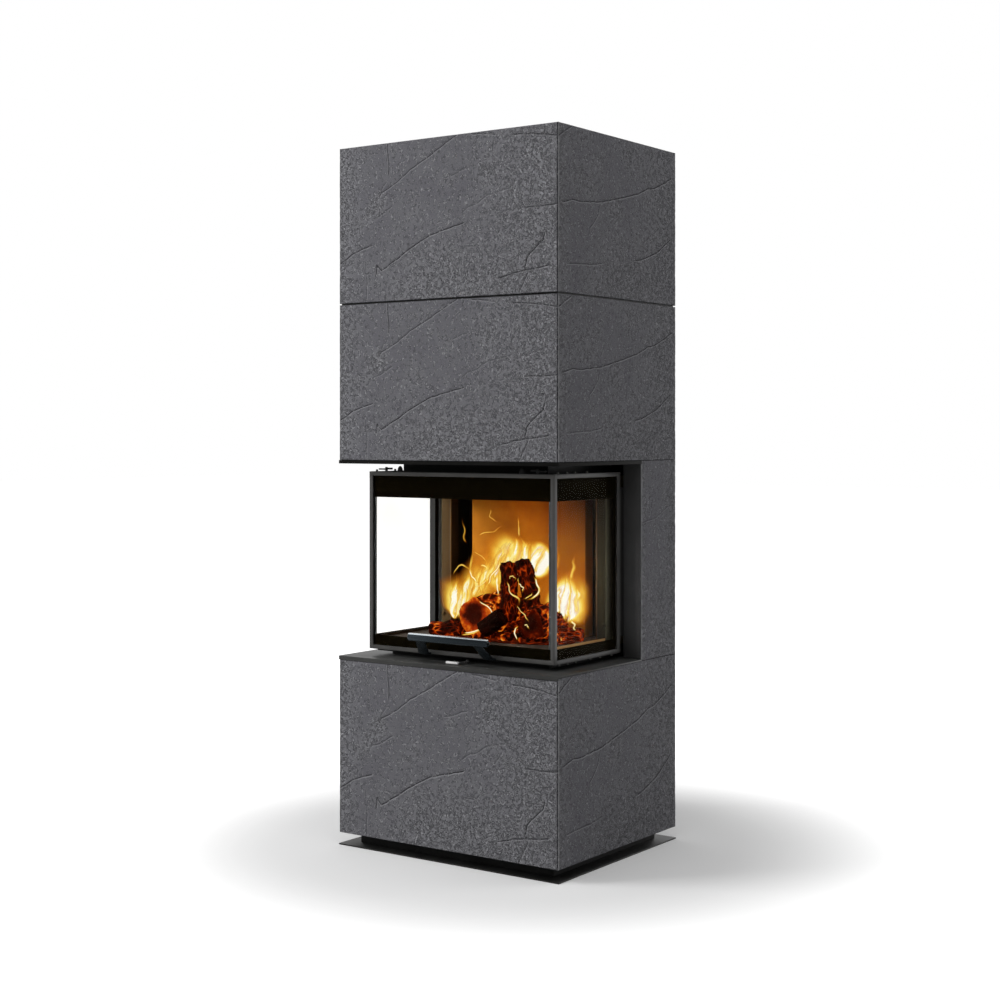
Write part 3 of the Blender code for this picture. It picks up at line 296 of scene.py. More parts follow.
stone = {
    "frontCells": (249, 147),    # about 3 mm each
    "sideCells": (205, 147),
    "middleCells": (64, 187),
    "module": (0.747, 0.442, 0.6155),    # a front panel's width, any panel's height, a side's width
    "edge": 1.5 * mm,
    "cornerEdge": 2.4 * mm,   # the broken edge of a side panel at the corner joint
    "frontEnd": 2.2 * mm,     # how far a front face stops short of the corner joint
    "mitre": 28.8 * mm,
    "smooth": 36,             # degrees under which the face looks smooth
    "creaseDepth": 1.7 * mm, "creaseWidth": 2.1 * mm, "fadeOut": 4 * mm, "far": 9.0,
    "lip": 0.55 * mm, "lipPlace": 2.4,            # the raised lip under a crease, that many crease widths away
    "wander": 1.6 * mm, "wanderSize": 22 * mm, "wanderSeed": 1,    # how far a crease strays from its drawn line
    "swell": 0.45 * mm, "swellSize": 95 * mm,
    "flake": 0.66 * mm, "flakeSize": 11 * mm, "flakeSteep": 1.6, "flakeTop": 0.25,    # flakes are cut flat on top
    "fine": 0.45 * mm, "fineSize": 6.5 * mm,
    "calm": 0.4,              # how rough the smooth parts are, as a share of the roughest
    # the groove colour is painted shade in creases, cracks and joints; the worn colour makes rough parts paler and is
    # also the painted highlight beside creases and cracks and on the side panels' corner edges
    "light": "#727276", "dark": "#6a696f", "paintedGrooveShade": "#2b2a2d", "worn": "#a9a9ac",
    "gritStops": [(0.3, "#8e8e8e"), (0.44, "#d0d0d0"), (0.58, "#dedede"), (0.72, "#ffffff")],
    "crackWidth": 0.08,       # as a share of the noise that draws the cracks
    # painted shade (dark) and painted highlight (pale): a crack's level in that noise and its strength, a crease's
    # middle and reach in millimetres, and the broken edges
    "paintedShadeAndHighlight": {"dark": {"level": 0.5, "faint": 0.55, "offset": 0.0, "reach": 2.3, "edge": -1},
              "pale": {"level": 0.62, "faint": 0.9, "offset": -2.9, "reach": 1.4, "edge": 1}},
    "frontEndShade": -1, "sideEndHighlight": 1, "levelShade": -0.8,    # broken edges: 1 a painted highlight, -1 painted shade of a joint
}

# creases as (strength, points), each point in thousandths of the panel's width and of its height from the top
frontCreases = [
    (0.8, [(235, 0), (235, 50), (240, 125), (240, 195)]),
    (0.4, [(230, 240), (205, 290), (195, 325)]),
    (0.8, [(560, 0), (515, 35), (470, 75), (410, 130), (340, 185), (290, 240), (235, 290), (205, 310), (195, 335)]),
    (0.5, [(605, 210), (580, 220), (540, 245), (505, 255)]),
    (0.6, [(255, 405), (225, 430), (200, 455), (165, 470)]),
    (1.2, [(590, 545), (555, 560), (500, 580), (440, 605), (410, 625), (370, 655), (320, 700), (295, 725), (255, 760),
           (225, 790), (205, 805), (185, 770), (180, 825)]),
    (0.9, [(160, 640), (115, 660), (65, 685), (40, 710), (0, 745)]),
    (1.0, [(945, 650), (940, 690), (915, 720), (890, 755), (870, 790), (860, 845)]),
    (0.7, [(875, 880), (855, 935), (835, 1000)]),
    (0.9, [(960, 845), (915, 855), (865, 860), (815, 875), (780, 890), (745, 900)]),
    (0.7, [(630, 5), (665, 10), (730, 25)]),
    (0.8, [(810, 40), (885, 45), (945, 60), (1000, 75)]),
    (0.8, [(1000, 480), (945, 485), (900, 485), (865, 485)]),
    (0.5, [(790, 490), (755, 505)]),
    (0.5, [(800, 360), (760, 370), (725, 380), (695, 390), (655, 430), (605, 455), (585, 480)]),
    (0.5, [(125, 745), (125, 820), (155, 820)]),
    (0.5, [(135, 840), (130, 1000)]),
    (0.4, [(470, 860), (440, 895), (425, 935)]),
    (0.4, [(610, 950), (570, 975)]),
    (0.5, [(920, 650), (880, 690)]),
    (0.5, [(910, 570), (880, 605)]),
    (0.4, [(90, 450), (95, 505), (100, 560)]),
    (0.4, [(65, 300), (75, 365)]),
    (0.5, [(660, 670), (640, 695), (600, 690)]),
    (0.5, [(760, 420), (735, 470)]),
]
sideCreases = [
    (1.0, [(30, 465), (110, 440), (150, 445), (245, 435), (340, 420), (405, 400), (495, 375), (590, 345), (660, 320),
           (745, 275), (810, 260), (885, 220), (960, 175)]),
    (0.7, [(355, 310), (335, 355)]),
    (0.8, [(325, 450), (315, 500), (280, 555), (245, 595), (240, 635)]),
    (1.0, [(950, 580), (885, 630), (820, 680), (755, 710), (705, 730), (640, 750)]),
    (0.9, [(95, 5), (0, 75)]),
    (0.7, [(65, 830), (150, 820), (245, 815), (340, 800)]),
    (0.5, [(495, 490), (445, 545)]),
    (0.5, [(640, 820), (610, 845)]),
]
middleCreases = [
    (0.5, [(0, 310), (400, 290), (750, 240)]),
    (0.4, [(1000, 660), (700, 700), (450, 780)]),
]


def pulse(tree, source, middle, reach):    # 1 where the source is at its middle, down to 0 a reach away
    off = addNode(tree, "Math", {"operation": "SUBTRACT", 1: middle}, {0: source})
    size = addNode(tree, "Math", {"operation": "ABSOLUTE"}, {0: off})
    return addNode(tree, "MapRange", {"From Max": reach, "To Min": 1.0, "To Max": 0.0}, {"Value": size})


def castStone():
    # through-coloured cast stone from a slate mould: matte, grey with a breath of violet, with painted shade and
    # painted highlights at its creases, cracks and edges
    material, tree, surface, coords = newMaterial("cast_slate_stone", Roughness=0.72, IOR=1.5, Specular_IOR_Level=0.22)
    reads = {name: addNode(tree, "Attribute", {"attribute_name": name}).outputs["Fac"]
             for name in ("cleft", "power", "rough", "corner")}
    # clouds 60 mm wide under a grit of 4 mm, drawn coarser than its real half millimetre so that it shows
    cloud = addNode(tree, "TexNoise", {"Scale": 16, "Detail": 5, "Roughness": 0.7}, {"Vector": coords})
    body = addNode(tree, "ValToRGB", {"stops": [(0.3, stone["dark"]), (0.7, stone["light"])]}, {"Fac": cloud})
    grit = addNode(tree, "TexNoise", {"Scale": 260, "Detail": 3, "Roughness": 0.75}, {"Vector": coords})
    gritTone = addNode(tree, "ValToRGB", {"stops": stone["gritStops"]}, {"Fac": grit})
    speckled = addNode(tree, "MixRGB", {"blend_type": "MULTIPLY", "Fac": 0.5}, {"Color1": body, "Color2": gritTone})
    bloom = addNode(tree, "MapRange", {"From Min": 0.45, "To Max": 0.2}, {"Value": reads["rough"]})
    bloomed = addNode(tree, "MixRGB", {"Color2": stone["worn"]}, {"Fac": bloom, "Color1": speckled})
    # short cracks 5 to 15 mm long: the lines where one noise crosses its middle, kept where another is low enough
    line = addNode(tree, "TexNoise", {"Scale": 150, "Detail": 2, "Distortion": 1.2}, {"Vector": coords})
    where = addNode(tree, "TexNoise", {"Scale": 85, "Detail": 1.5}, {"Vector": coords})
    limit = addNode(tree, "MapRange", {"From Min": 0.4, "To Min": 0.50, "To Max": 0.62}, {"Value": reads["rough"]})
    inside = addNode(tree, "Math", {"operation": "SUBTRACT"}, {0: limit, 1: where})
    kept = addNode(tree, "MapRange", {"From Max": 0.07}, {"Value": inside})
    # each crack and crease gets a dark line of painted shade and a pale line of painted highlight beside it, and the
    # broken edges get the same
    paintedShadeAndHighlight = {}
    for name, item in stone["paintedShadeAndHighlight"].items():
        dash = addNode(tree, "Math", {"operation": "MULTIPLY"},
                       {0: pulse(tree, line, item["level"], stone["crackWidth"]), 1: kept})
        faint = addNode(tree, "Math", {"operation": "MULTIPLY", 1: item["faint"]}, {0: dash})
        crease = addNode(tree, "Math", {"operation": "MULTIPLY"},
                         {0: pulse(tree, reads["cleft"], item["offset"], item["reach"]), 1: reads["power"]})
        edge = addNode(tree, "Math", {"operation": "MULTIPLY", 1: item["edge"]}, {0: reads["corner"]})
        larger = addNode(tree, "Math", {"operation": "MAXIMUM"}, {0: faint, 1: crease})
        paintedShadeAndHighlight[name] = addNode(tree, "Math", {"operation": "MAXIMUM", "use_clamp": True}, {0: larger, 1: edge})
    # the painted shade in the groove colour, then the painted highlight in the worn colour
    shaded = addNode(tree, "MixRGB", {"Color2": stone["paintedGrooveShade"]}, {"Fac": paintedShadeAndHighlight["dark"], "Color1": bloomed})
    softened = addNode(tree, "Math", {"operation": "MULTIPLY", 1: 0.65}, {0: paintedShadeAndHighlight["pale"]})
    final = addNode(tree, "MixRGB", {"Color2": stone["worn"]}, {"Fac": softened, "Color1": shaded})
    level = addNode(tree, "Math", {"operation": "SUBTRACT", 0: 1.0}, {1: paintedShadeAndHighlight["dark"]})
    dashBump = addNode(tree, "Bump", {"Distance": 4.0 * mm}, {"Height": level, "Strength": reads["rough"]})
    grain = addNode(tree, "Bump", {"Strength": 1.0, "Distance": 2.6 * mm}, {"Height": grit, "Normal": dashBump})
    connect(surface, {"Base Color": final, "Normal": grain})
    return material


def reachTo(points, line):    # each point's distance to a crease, and the same signed by its side
    reach, signed = np.full(len(points), stone["far"]), np.zeros(len(points))
    for start, end in zip(line[:-1], line[1:]):
        along = end - start
        share = np.clip(((points - start) @ along) / (along @ along), 0, 1)
        away = points - start - share[:, None] * along
        distance = np.linalg.norm(away, axis=1)
        side = np.sign(along[0] * away[:, 1] - along[1] * away[:, 0])
        nearer = distance < reach
        reach[nearer], signed[nearer] = distance[nearer], (distance * side)[nearer]
    return reach, signed


def castRelief(cells, size, creases, seed):
    # the mould's depth below the face at each grid point, how rough it is there, and the way to the nearest crease
    across, up = np.meshgrid(np.linspace(0, size[0], cells[0] + 1), np.linspace(0, size[1], cells[1] + 1))
    points = np.c_[across.ravel(), up.ravel()]
    spots = [Vector((x, y, 0)) for x, y in points]
    lift = Vector((0, 0, seed))
    wander = stone["wander"] * np.array([noise.noise_vector(spot / stone["wanderSize"] + lift)[:2] for spot in spots])
    swell, flake, fine = (np.array([noise.noise(spot / stone[name + "Size"] + lift * turn) for spot in spots])
                          for turn, name in enumerate(("swell", "flake", "fine"), 1))
    # rough at both ends, along the bottom and on the swells
    u, v = points[:, 0] / size[0], 1 - points[:, 1] / size[1]
    rough = np.maximum.reduce([(u - 0.55) * 3, (0.13 - u) * 8, (v - 0.45) * 2.4 * np.clip((u - 0.1) / 0.35, 0, 1),
                               swell * 1.5])
    rough = stone["calm"] + (1 - stone["calm"]) * np.clip(rough, 0, 1)
    flat = stone["flakeTop"]
    flakes = stone["flake"] * (np.clip(stone["flakeSteep"] * flake, -1, flat) - flat)
    height = stone["swell"] * (swell - 1) + rough * (flakes + stone["fine"] * (fine - 1))
    cleft, power, nearest = np.zeros(len(points)), np.zeros(len(points)), np.full(len(points), stone["far"])
    width = stone["creaseWidth"]
    for strength, places in creases:
        line = np.array([(x / 1000 * size[0], (1 - y / 1000) * size[1]) for x, y in places])
        if line[0, 0] > line[-1, 0]:    # always left to right, so that above counts as positive
            line = line[::-1]
        reach, signed = reachTo(points + wander, line)
        height -= stone["creaseDepth"] * strength * np.exp(-(reach / width) ** 2)
        height += stone["lip"] * strength * np.exp(-((signed + stone["lipPlace"] * width) / width) ** 2)
        nearer = reach < nearest
        nearest[nearer], cleft[nearer], power[nearer] = reach[nearer], signed[nearer], strength
    power = np.clip(power, 0, 1) * np.clip(2 - nearest / stone["fadeOut"], 0, 1)
    return {"height": np.minimum(height, 0), "rough": rough, "cleft": cleft / mm, "power": power}


def addPanel(node, facing, cells, relief, material):
    lo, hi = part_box(node)
    span, middle, front = hi - lo, (lo + hi) / 2, facing == "front"
    width, depth = (span.x, span.y) if front else (span.y, span.x)
    height, edge = span.z, stone["edge"]
    end = stone["frontEnd"] if front else stone["cornerEdge"]
    faceWidth, faceHeight = width - 2 * end, height - 2 * edge
    bpy.ops.mesh.primitive_grid_add(x_subdivisions=cells[0], y_subdivisions=cells[1], size=1)
    panel = bpy.context.object
    points = readPoints(panel)
    points[:, :2] *= faceWidth, faceHeight
    points[:, 2] = relief["height"]
    writePoints(panel, points)
    for name in ("rough", "cleft", "power"):
        writeAttribute(panel, name, relief[name])
    # the broken edge, then the mitred back
    bpy.ops.object.mode_set(mode="EDIT")
    bpy.ops.mesh.select_all(action="SELECT")
    bpy.ops.mesh.region_to_loop()
    bpy.ops.mesh.extrude_edges_move(TRANSFORM_OT_translate={"value": (0, 0, -edge)})
    bpy.ops.transform.resize(value=(1 if front else width / faceWidth, height / faceHeight, 1))
    mitre = 0 if "middle" in node else stone["mitre"]
    ends, moved = {"front": (2, 0), "left": (1, -0.5), "right": (1, 0.5)}[facing]    # how many ends are mitred
    bpy.ops.mesh.extrude_edges_move(TRANSFORM_OT_translate={"value": (moved * mitre, 0, edge - depth)})
    bpy.ops.transform.resize(value=((width - ends * mitre) / (faceWidth if front else width), 1, 1))
    bpy.ops.mesh.edge_face_add()
    turnOutwards()
    points = readPoints(panel)
    points[points[:, 2] < -0.6 * depth, 2] = -depth    # the back lies flat behind the uneven face
    writePoints(panel, points)
    # the broken edges: a painted highlight at a side panel's upright ends, painted shade at a front panel's upright
    # ends and along the level edges
    rim = (cells[0] + 1) * (cells[1] + 1) + 2 * (cells[0] + cells[1])
    corner = np.zeros(len(points))
    corner[:rim][np.abs(points[:rim, 0]) > 0.499 * faceWidth] = stone["frontEndShade"] if front else stone["sideEndHighlight"]
    corner[:rim][np.abs(points[:rim, 1]) > 0.501 * faceHeight] = stone["levelShade"]
    writeAttribute(panel, "corner", corner)
    bpy.ops.object.shade_smooth_by_angle(angle=math.radians(stone["smooth"]))
    along, outwards, face = {    # for each side of the tower
        "front": ((1, 0, 0), (0, -1, 0), (middle.x, lo.y, middle.z)),
        "right": ((0, 1, 0), (1, 0, 0), (hi.x, middle.y, middle.z)),
        "left": ((0, -1, 0), (-1, 0, 0), (lo.x, middle.y, middle.z)),
    }[facing]
    turned = Matrix((along, (0, 0, 1), outwards)).transposed().to_4x4()
    panel.data.transform(Matrix.Translation(face) @ turned)
    panel.data.update()
    settle(panel, node.replace("panel", "stone"), material, "root", [node])


def addCladding():
    noise.seed_set(stone["wanderSeed"])    # without it the noise vectors differ from run to run
    material = castStone()
    width, height, depth = stone["module"]
    front = castRelief(stone["frontCells"], (width, height), frontCreases, 3.1)
    side = castRelief(stone["sideCells"], (depth, height), sideCreases, 11.7)
    for ring in ("lower", "upper", "top"):
        addPanel(ring + "_front_panel", "front", stone["frontCells"], front, material)
        for facing in ("left", "right"):
            addPanel(f"{ring}_{facing}_panel", facing, stone["sideCells"], side, material)
    lo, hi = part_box("middle_right_panel")
    middle = castRelief(stone["middleCells"], (hi.y - lo.y, hi.z - lo.z), middleCreases, 23.9)
    for facing in ("left", "right"):
        addPanel(f"middle_{facing}_panel", facing, stone["middleCells"], middle, material)
    print("stone cladding is cast")


addCladding()


# the metalwork: CAD parts with their edges broken and their rounds smoothed

def stovePaint(name, roughness, tint, peel, shine=1.5, across=None):
    # sprayed stove paint on sheet steel: even, in clouds 70 mm wide, with the spray's orange peel drawn 1 mm wide
    material, tree, surface, coords = newMaterial(name, Roughness=roughness, IOR=shine)
    patch = addNode(tree, "TexNoise", {"Scale": 14, "Detail": 3}, {"Vector": coords})
    colour = addNode(tree, "ValToRGB", {"stops": [(0.3, tint[0]), (0.75, tint[1])]}, {"Fac": patch})
    if across:    # sooted on the left; on the side of the hottest flame burnt clean and lighter with painted firelight
        place = addNode(tree, "SeparateXYZ", {}, {0: coords})
        side = addNode(tree, "MapRange", {"From Min": -across, "From Max": across}, {"Value": place.outputs["X"]})
        connect(colour, {"Fac": side})
    skin = addNode(tree, "TexNoise", {"Scale": 900, "Detail": 2}, {"Vector": coords})
    bump = addNode(tree, "Bump", {"Strength": peel, "Distance": 0.15 * mm}, {"Height": skin})
    worn = addNode(tree, "MapRange", {"To Min": roughness - 0.05, "To Max": roughness + 0.07}, {"Value": patch})
    connect(surface, {"Base Color": colour, "Normal": bump, "Roughness": worn})
    return material


def bareSteel(name, tint, roughness, brush, metal=1.0):
    # rolled or drawn steel: grey metal with lines along the draw, 17 mm apart so that they show
    material, tree, surface, coords = newMaterial(name, Metallic=metal, Roughness=roughness)
    stretched = addNode(tree, "Mapping", {"Scale": brush}, {"Vector": coords})
    lines = addNode(tree, "TexNoise", {"Scale": 60, "Detail": 3}, {"Vector": stretched})
    colour = addNode(tree, "ValToRGB", {"stops": [(0.25, tint[0]), (0.8, tint[1])]}, {"Fac": lines})
    rough = addNode(tree, "MapRange", {"To Min": roughness - 0.08, "To Max": roughness + 0.1}, {"Value": lines})
    bump = addNode(tree, "Bump", {"Strength": 0.2, "Distance": 0.1 * mm}, {"Height": lines})
    connect(surface, {"Base Color": colour, "Roughness": rough, "Normal": bump})
    return material


def bluedSteel():
    # blackened stainless bar: dark and bluish, with a painted highlight along its top
    material = bareSteel("blued_handle_steel", ("#3a4247", "#4a5359"), 0.22, (0.05, 1, 1), 0.8)
    tree = material.node_tree
    surface = tree.nodes["Principled BSDF"]
    blued = surface.inputs["Base Color"].links[0].from_socket
    place = addNode(tree, "SeparateXYZ", {}, {0: addNode(tree, "TexCoord").outputs["Object"]})
    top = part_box("door_handle")[1].z
    # a pale band along the bar's top edge: a painted highlight
    paintedTopHighlight = addNode(tree, "MapRange", {"From Min": top - 3.4 * mm, "From Max": top - 2.6 * mm},
                     {"Value": place.outputs["Z"]})
    connect(surface, {"Base Color": addNode(tree, "MixRGB", {"Color2": "#e6eef4"}, {"Fac": paintedTopHighlight, "Color1": blued})})
    return material


def castIron():
    # grey iron as it leaves the sand mould: dark, rough and faintly pitted, in pits drawn 2 mm wide
    material, tree, surface, coords = newMaterial("sand_cast_iron", Metallic=1.0, Roughness=0.6)
    grains = addNode(tree, "TexNoise", {"Scale": 500, "Detail": 3}, {"Vector": coords})
    colour = addNode(tree, "ValToRGB", {"stops": [(0.3, "#2b2b2d"), (0.75, "#4a4a4c")]}, {"Fac": grains})
    bump = addNode(tree, "Bump", {"Strength": 0.5, "Distance": 0.4 * mm}, {"Height": grains})
    connect(surface, {"Base Color": colour, "Normal": bump})
    return material


finishing = {
    "merge": 0.01 * mm,
    "flatAngle": 1,      # degrees under which neighbouring faces are one
    "edgeAngle": 40,     # and over which an edge is broken
    "smoothAngle": 35,   # and under which a round looks smooth
    "edgeSteps": 2,
}


def dress(node, material, edge=0.0, body=None):
    # a copy of the CAD part with its triangles joined up, its edges broken and its rounds smooth
    piece = bpy.data.objects.new(node + "_finished", nodes[node].data.copy())
    bpy.context.scene.collection.objects.link(piece)
    pick(piece, "VERT", lambda point: True)
    bpy.ops.mesh.remove_doubles(threshold=finishing["merge"])
    bpy.ops.mesh.dissolve_limited(angle_limit=math.radians(finishing["flatAngle"]))
    bpy.ops.object.mode_set(mode="OBJECT")
    if edge:
        bevel = piece.modifiers.new("edge", "BEVEL")
        bevel.width, bevel.segments, bevel.limit_method = edge, finishing["edgeSteps"], "ANGLE"
        bevel.angle_limit = math.radians(finishing["edgeAngle"])
        applyModifiers(piece)
    work(piece)
    bpy.ops.object.shade_smooth_by_angle(angle=math.radians(finishing["smoothAngle"]))
    return settle(piece, node + "_finished", material, body or nodes[node]["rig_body"], [node])


handleBrackets = {
    # where a bracket's two sides stand, at the bar and at the door's rail; its plain solid has both sides upright
    "plain": (0.0835, 0.1205), "atBar": (0.0820, 0.1120), "atRail": (0.0950, 0.1290),
    "bar": 0.5975, "rail": 0.5570,
}


def splayBrackets(handle):
    points = readPoints(handle)
    inner, outer = handleBrackets["plain"]
    reach = np.abs(points[:, 0])
    drop = np.clip((handleBrackets["bar"] - points[:, 2]) / (handleBrackets["bar"] - handleBrackets["rail"]), 0, 1)
    low, high = [a + (b - a) * drop for a, b in zip(handleBrackets["atBar"], handleBrackets["atRail"])]
    moved = low + (high - low) * (reach - inner) / (outer - inner)
    bracket = reach < outer + 1 * mm
    points[bracket, 0] = (np.sign(points[:, 0]) * moved)[bracket]
    writePoints(handle, points)


cableWrap = {"sides": 8, "steps": 24}


def addCableWrap(side, material):
    # the half turn over the pulley, between the door's run of the cable and the counterweight's
    lo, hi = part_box(f"door_cable_{side}")
    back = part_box(f"weight_cable_{side}")[1].y
    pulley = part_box(f"pulley_{side}")
    shaft = (pulley[0].z + pulley[1].z) / 2
    across = (lo.x + hi.x) / 2
    bpy.ops.mesh.primitive_circle_add(vertices=cableWrap["sides"], radius=(hi.y - lo.y) / 2, fill_type="NGON",
                                      location=(across, (lo.y + hi.y) / 2, shaft))
    wrap = bpy.context.object
    pick(wrap, "FACE", lambda face: True)
    bpy.ops.mesh.spin(steps=cableWrap["steps"], angle=math.pi, center=(across, (lo.y + back) / 2, shaft),
                      axis=(1, 0, 0))
    turnOutwards()
    settle(wrap, f"cable_wrap_{side}", material, "root")


def addMetalwork():
    gloss = stovePaint("semi_gloss_stove_paint", 0.3, ("#3a3a39", "#444443"), 0.1, 1.22)
    satin = stovePaint("satin_stove_paint", 0.5, ("#161615", "#242423"), 0.3)
    lampBlack = stovePaint("matt_black_edge_paint", 0.75, ("#111110", "#191817"), 0.3, 1.25)
    grey = stovePaint("grey_powder_coat", 0.42, ("#474645", "#555452"), 0.35)
    fasciaPaint = stovePaint("matt_fascia_paint", 0.6, ("#404040", "#484848"), 0.3, 1.3)
    ceilingPaint = stovePaint("smoked_ceiling_paint", 0.6, ("#1d1b19", "#262321"), 0.3)
    # the lining behind the fire: dark with soot on the left, lighter towards the right with heat bleaching and painted
    # firelight
    bleachedAndPaintedFirelight = stovePaint("heat_bleached_and_painted_firelit_lining_paint", 0.7, ("#0a0908", "#857857"), 0.3, across=0.16)
    mill = bareSteel("mill_steel", ("#7d7d7f", "#a9a9ab"), 0.38, (1, 1, 0.06))
    drawn = bareSteel("drawn_steel_rod", ("#8b8b8d", "#b4b4b6"), 0.25, (1, 1, 0.02))
    bright = bareSteel("bright_stainless", ("#f8f6f2", "#ffffff"), 0.5, (0.05, 1, 1), 0.1)
    dressed = {    # each part's broken edge in millimetres; a name without a side stands for its left and right parts
        gloss: {"shelf_plate": 0.6, "top_cover": 0}, lampBlack: {"lintel_tray": 0.5}, fasciaPaint: {"fascia": 0.4},
        ceilingPaint: {"chamber_ceiling": 0.5}, bleachedAndPaintedFirelight: {"rear_shell": 0.6},
        satin: {"base_plate": 0.8, "plinth": 0.8, "seam_strip": 0.3, "rear_cover": 0, "firebox_base": 0.6,
                "smoke_chamber": 1.0, "flue_pipe": 0, "latch": 0.3, "carriage": 0.4, "mechanism_plate": 0},
        grey: {"air_lever": 0.2, "door_frame_front": 0.8, "door_frame": 0.8}, bluedSteel(): {"door_handle": 0.9},
        mill: {"support_frame": 0, "air_box": 0.3, "weight_cable": 0}, drawn: {"guide_rod": 0, "lift_shaft": 0},
        bright: {"air_tab": 0.6}, castIron(): {"pulley": 0, "counterweight": 0.8},
    }
    for material, parts in dressed.items():
        for name, edge in parts.items():
            for node in [name] if name in nodes else [name + "_left", name + "_right"]:
                dress(node, material, edge * mm)
    splayBrackets(bpy.data.objects["door_handle_finished"])
    for side in ("left", "right"):    # the run from the door to its pulley shortens as the door goes up
        addCableWrap(side, mill)
        cable = dress(f"door_cable_{side}", mill, body="root")
        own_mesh(cable)
    print("metalwork is painted")


addMetalwork()


# small fittings that only the dressed model has

fittings = {
    # the right-hand ones; the left-hand ones mirror them
    "retainer": {"place": (0.3037, -0.2345, 0.8100), "size": (0.0150, 0.0020, 0.4790)},    # holds the front pane
    "lip": {"place": (0.2902, -0.08375, 0.5869), "size": (0.0020, 0.2775, 0.0232)},        # steel edge of the hearth
    "latchTail": {"place": (0.24735, -0.23525, 1.07205), "size": (0.0177, 0.0045, 0.0055)},
    "blockEdge": 0.3 * mm,
    "buffer": {"place": (0.2097, -0.2352, 1.0638), "size": (0.0098, 0.0034, 0.0162)},
    "screw": {"x": 0.3113, "radius": 3.2 * mm, "height": 5.0 * mm, "faces": 16, "edge": 0.7 * mm,
              # under the lower rail and over the upper one: which way the head looks, where it starts, and how deep
              "rows": ((-1, 0.5563, (-0.2088, -0.1692, -0.1296, -0.0542, -0.0056, 0.0544)),
                       (1, 1.0637, (-0.2151, -0.1707, -0.1321, -0.0721)))},
}


def addBlock(name, sign, item, material, body):
    x, y, z = item["place"]
    bpy.ops.mesh.primitive_cube_add(size=1, location=(sign * x, y, z))
    block = bpy.context.object
    block.scale = item["size"]
    work(block)
    bpy.ops.object.transform_apply(location=False, rotation=False, scale=True)
    bpy.ops.object.mode_set(mode="EDIT")
    bpy.ops.mesh.select_all(action="SELECT")
    bpy.ops.mesh.bevel(offset=fittings["blockEdge"], segments=2, affect="EDGES")
    bpy.ops.object.mode_set(mode="OBJECT")
    settle(block, name, material, body)


def addBuffer(name, sign, item, material):
    # a rubber stop with a domed top, cut flat at its foot
    x, y, z = item["place"]
    bpy.ops.mesh.primitive_uv_sphere_add(segments=32, ring_count=16, radius=1, location=(0, 0, 0))
    dome = bpy.context.object
    pick(dome, "FACE", lambda face: True)
    bpy.ops.mesh.bisect(plane_co=(0, 0, 0), plane_no=(0, 0, 1), clear_inner=True, use_fill=True)
    bpy.ops.object.mode_set(mode="OBJECT")
    dome.scale, dome.location = item["size"], (sign * x, y, z)
    settle(dome, name, material, "lift_door")


def addScrews(name, sign, item, material):
    heads = []
    for way, level, places in item["rows"]:
        for y in places:
            bpy.ops.mesh.primitive_cylinder_add(vertices=item["faces"], radius=item["radius"], depth=item["height"],
                                                location=(sign * item["x"], y, level + way * item["height"] / 2))
            heads.append(bpy.context.object)
            pick(heads[-1], "FACE", lambda face: face.normal.z * way > 0.9)
            bpy.ops.mesh.bevel(offset=item["edge"], segments=2, affect="EDGES")
            bpy.ops.object.mode_set(mode="OBJECT")
    settle(joinUp(heads), name, material, "lift_door")


def addFittings():
    black = stovePaint("black_fitting_paint", 0.5, ("#0c0c0c", "#161616"), 0.2)
    strip = stovePaint("dark_strip_steel", 0.45, ("#26282a", "#303335"), 0.2)
    # the right hearth lip's tan is painted firelight; the left one is plain black
    firelitLipPaint = bareSteel("painted_firelit_lip_steel", ("#b0824a", "#d0a060"), 0.5, (1, 0.1, 1), 0.4)
    zinc = bareSteel("zinc_plated_screws", ("#5c5c5a", "#7c7c78"), 0.5, (1, 1, 1), 0.5)
    for side, sign, lip in (("left", -1, black), ("right", 1, firelitLipPaint)):
        addBlock(f"pane_retainer_{side}", sign, fittings["retainer"], strip, "lift_door")
        addBlock(f"hearth_lip_{side}", sign, fittings["lip"], lip, "root")
        addBlock(f"latch_tail_{side}", sign, fittings["latchTail"], black, "lift_door")
        addBuffer(f"door_buffer_{side}", sign, fittings["buffer"], black)
        addScrews(f"rail_screws_{side}", sign, fittings["screw"], zinc)
    print("small fittings are on")


addFittings()


# the glazing: clear ceramic panes with a black border fired onto their inner faces

glazing = {
    "topBand": 0.9905,      # the print's lower edge along the top
    "bottomBand": 0.597,
    "sideBand": 2 * mm,     # the print up each side of the front pane
    "rearBand": 0.060,      # where the print starts at the back of a side pane
    "inset": 0.4 * mm,      # how far the print stops short of the pane's edges
    "gap": 0.05 * mm,
    "film": 0.25 * mm,
}


def ceramicGlass():
    # fire-proof glass ceramic: clear with a smoky tint in clouds 170 mm wide; the inner coat kills most of its mirror
    material, tree, surface, coords = newMaterial("ceramic_stove_glass", Roughness=0.0, IOR=1.05,
                                                  Transmission_Weight=1.0)
    haze = addNode(tree, "TexNoise", {"Scale": 6, "Detail": 3}, {"Vector": coords})
    tint = addNode(tree, "ValToRGB", {"stops": [(0.3, "#fdfdfc"), (0.8, "#f7f6f2")]}, {"Fac": haze})
    connect(surface, {"Base Color": tint})
    return material


def firedPrint():
    # screen-printed enamel: dead black, smooth as the glass it is fused to, with the 3 mm specks of the screen
    material, tree, surface, coords = newMaterial("black_fired_print", Roughness=0.35, Specular_IOR_Level=0)
    patch = addNode(tree, "TexNoise", {"Scale": 300, "Detail": 2}, {"Vector": coords})
    colour = addNode(tree, "ValToRGB", {"stops": [(0.3, "#080602"), (0.8, "#110d06")]}, {"Fac": patch})
    connect(surface, {"Base Color": colour})
    return material


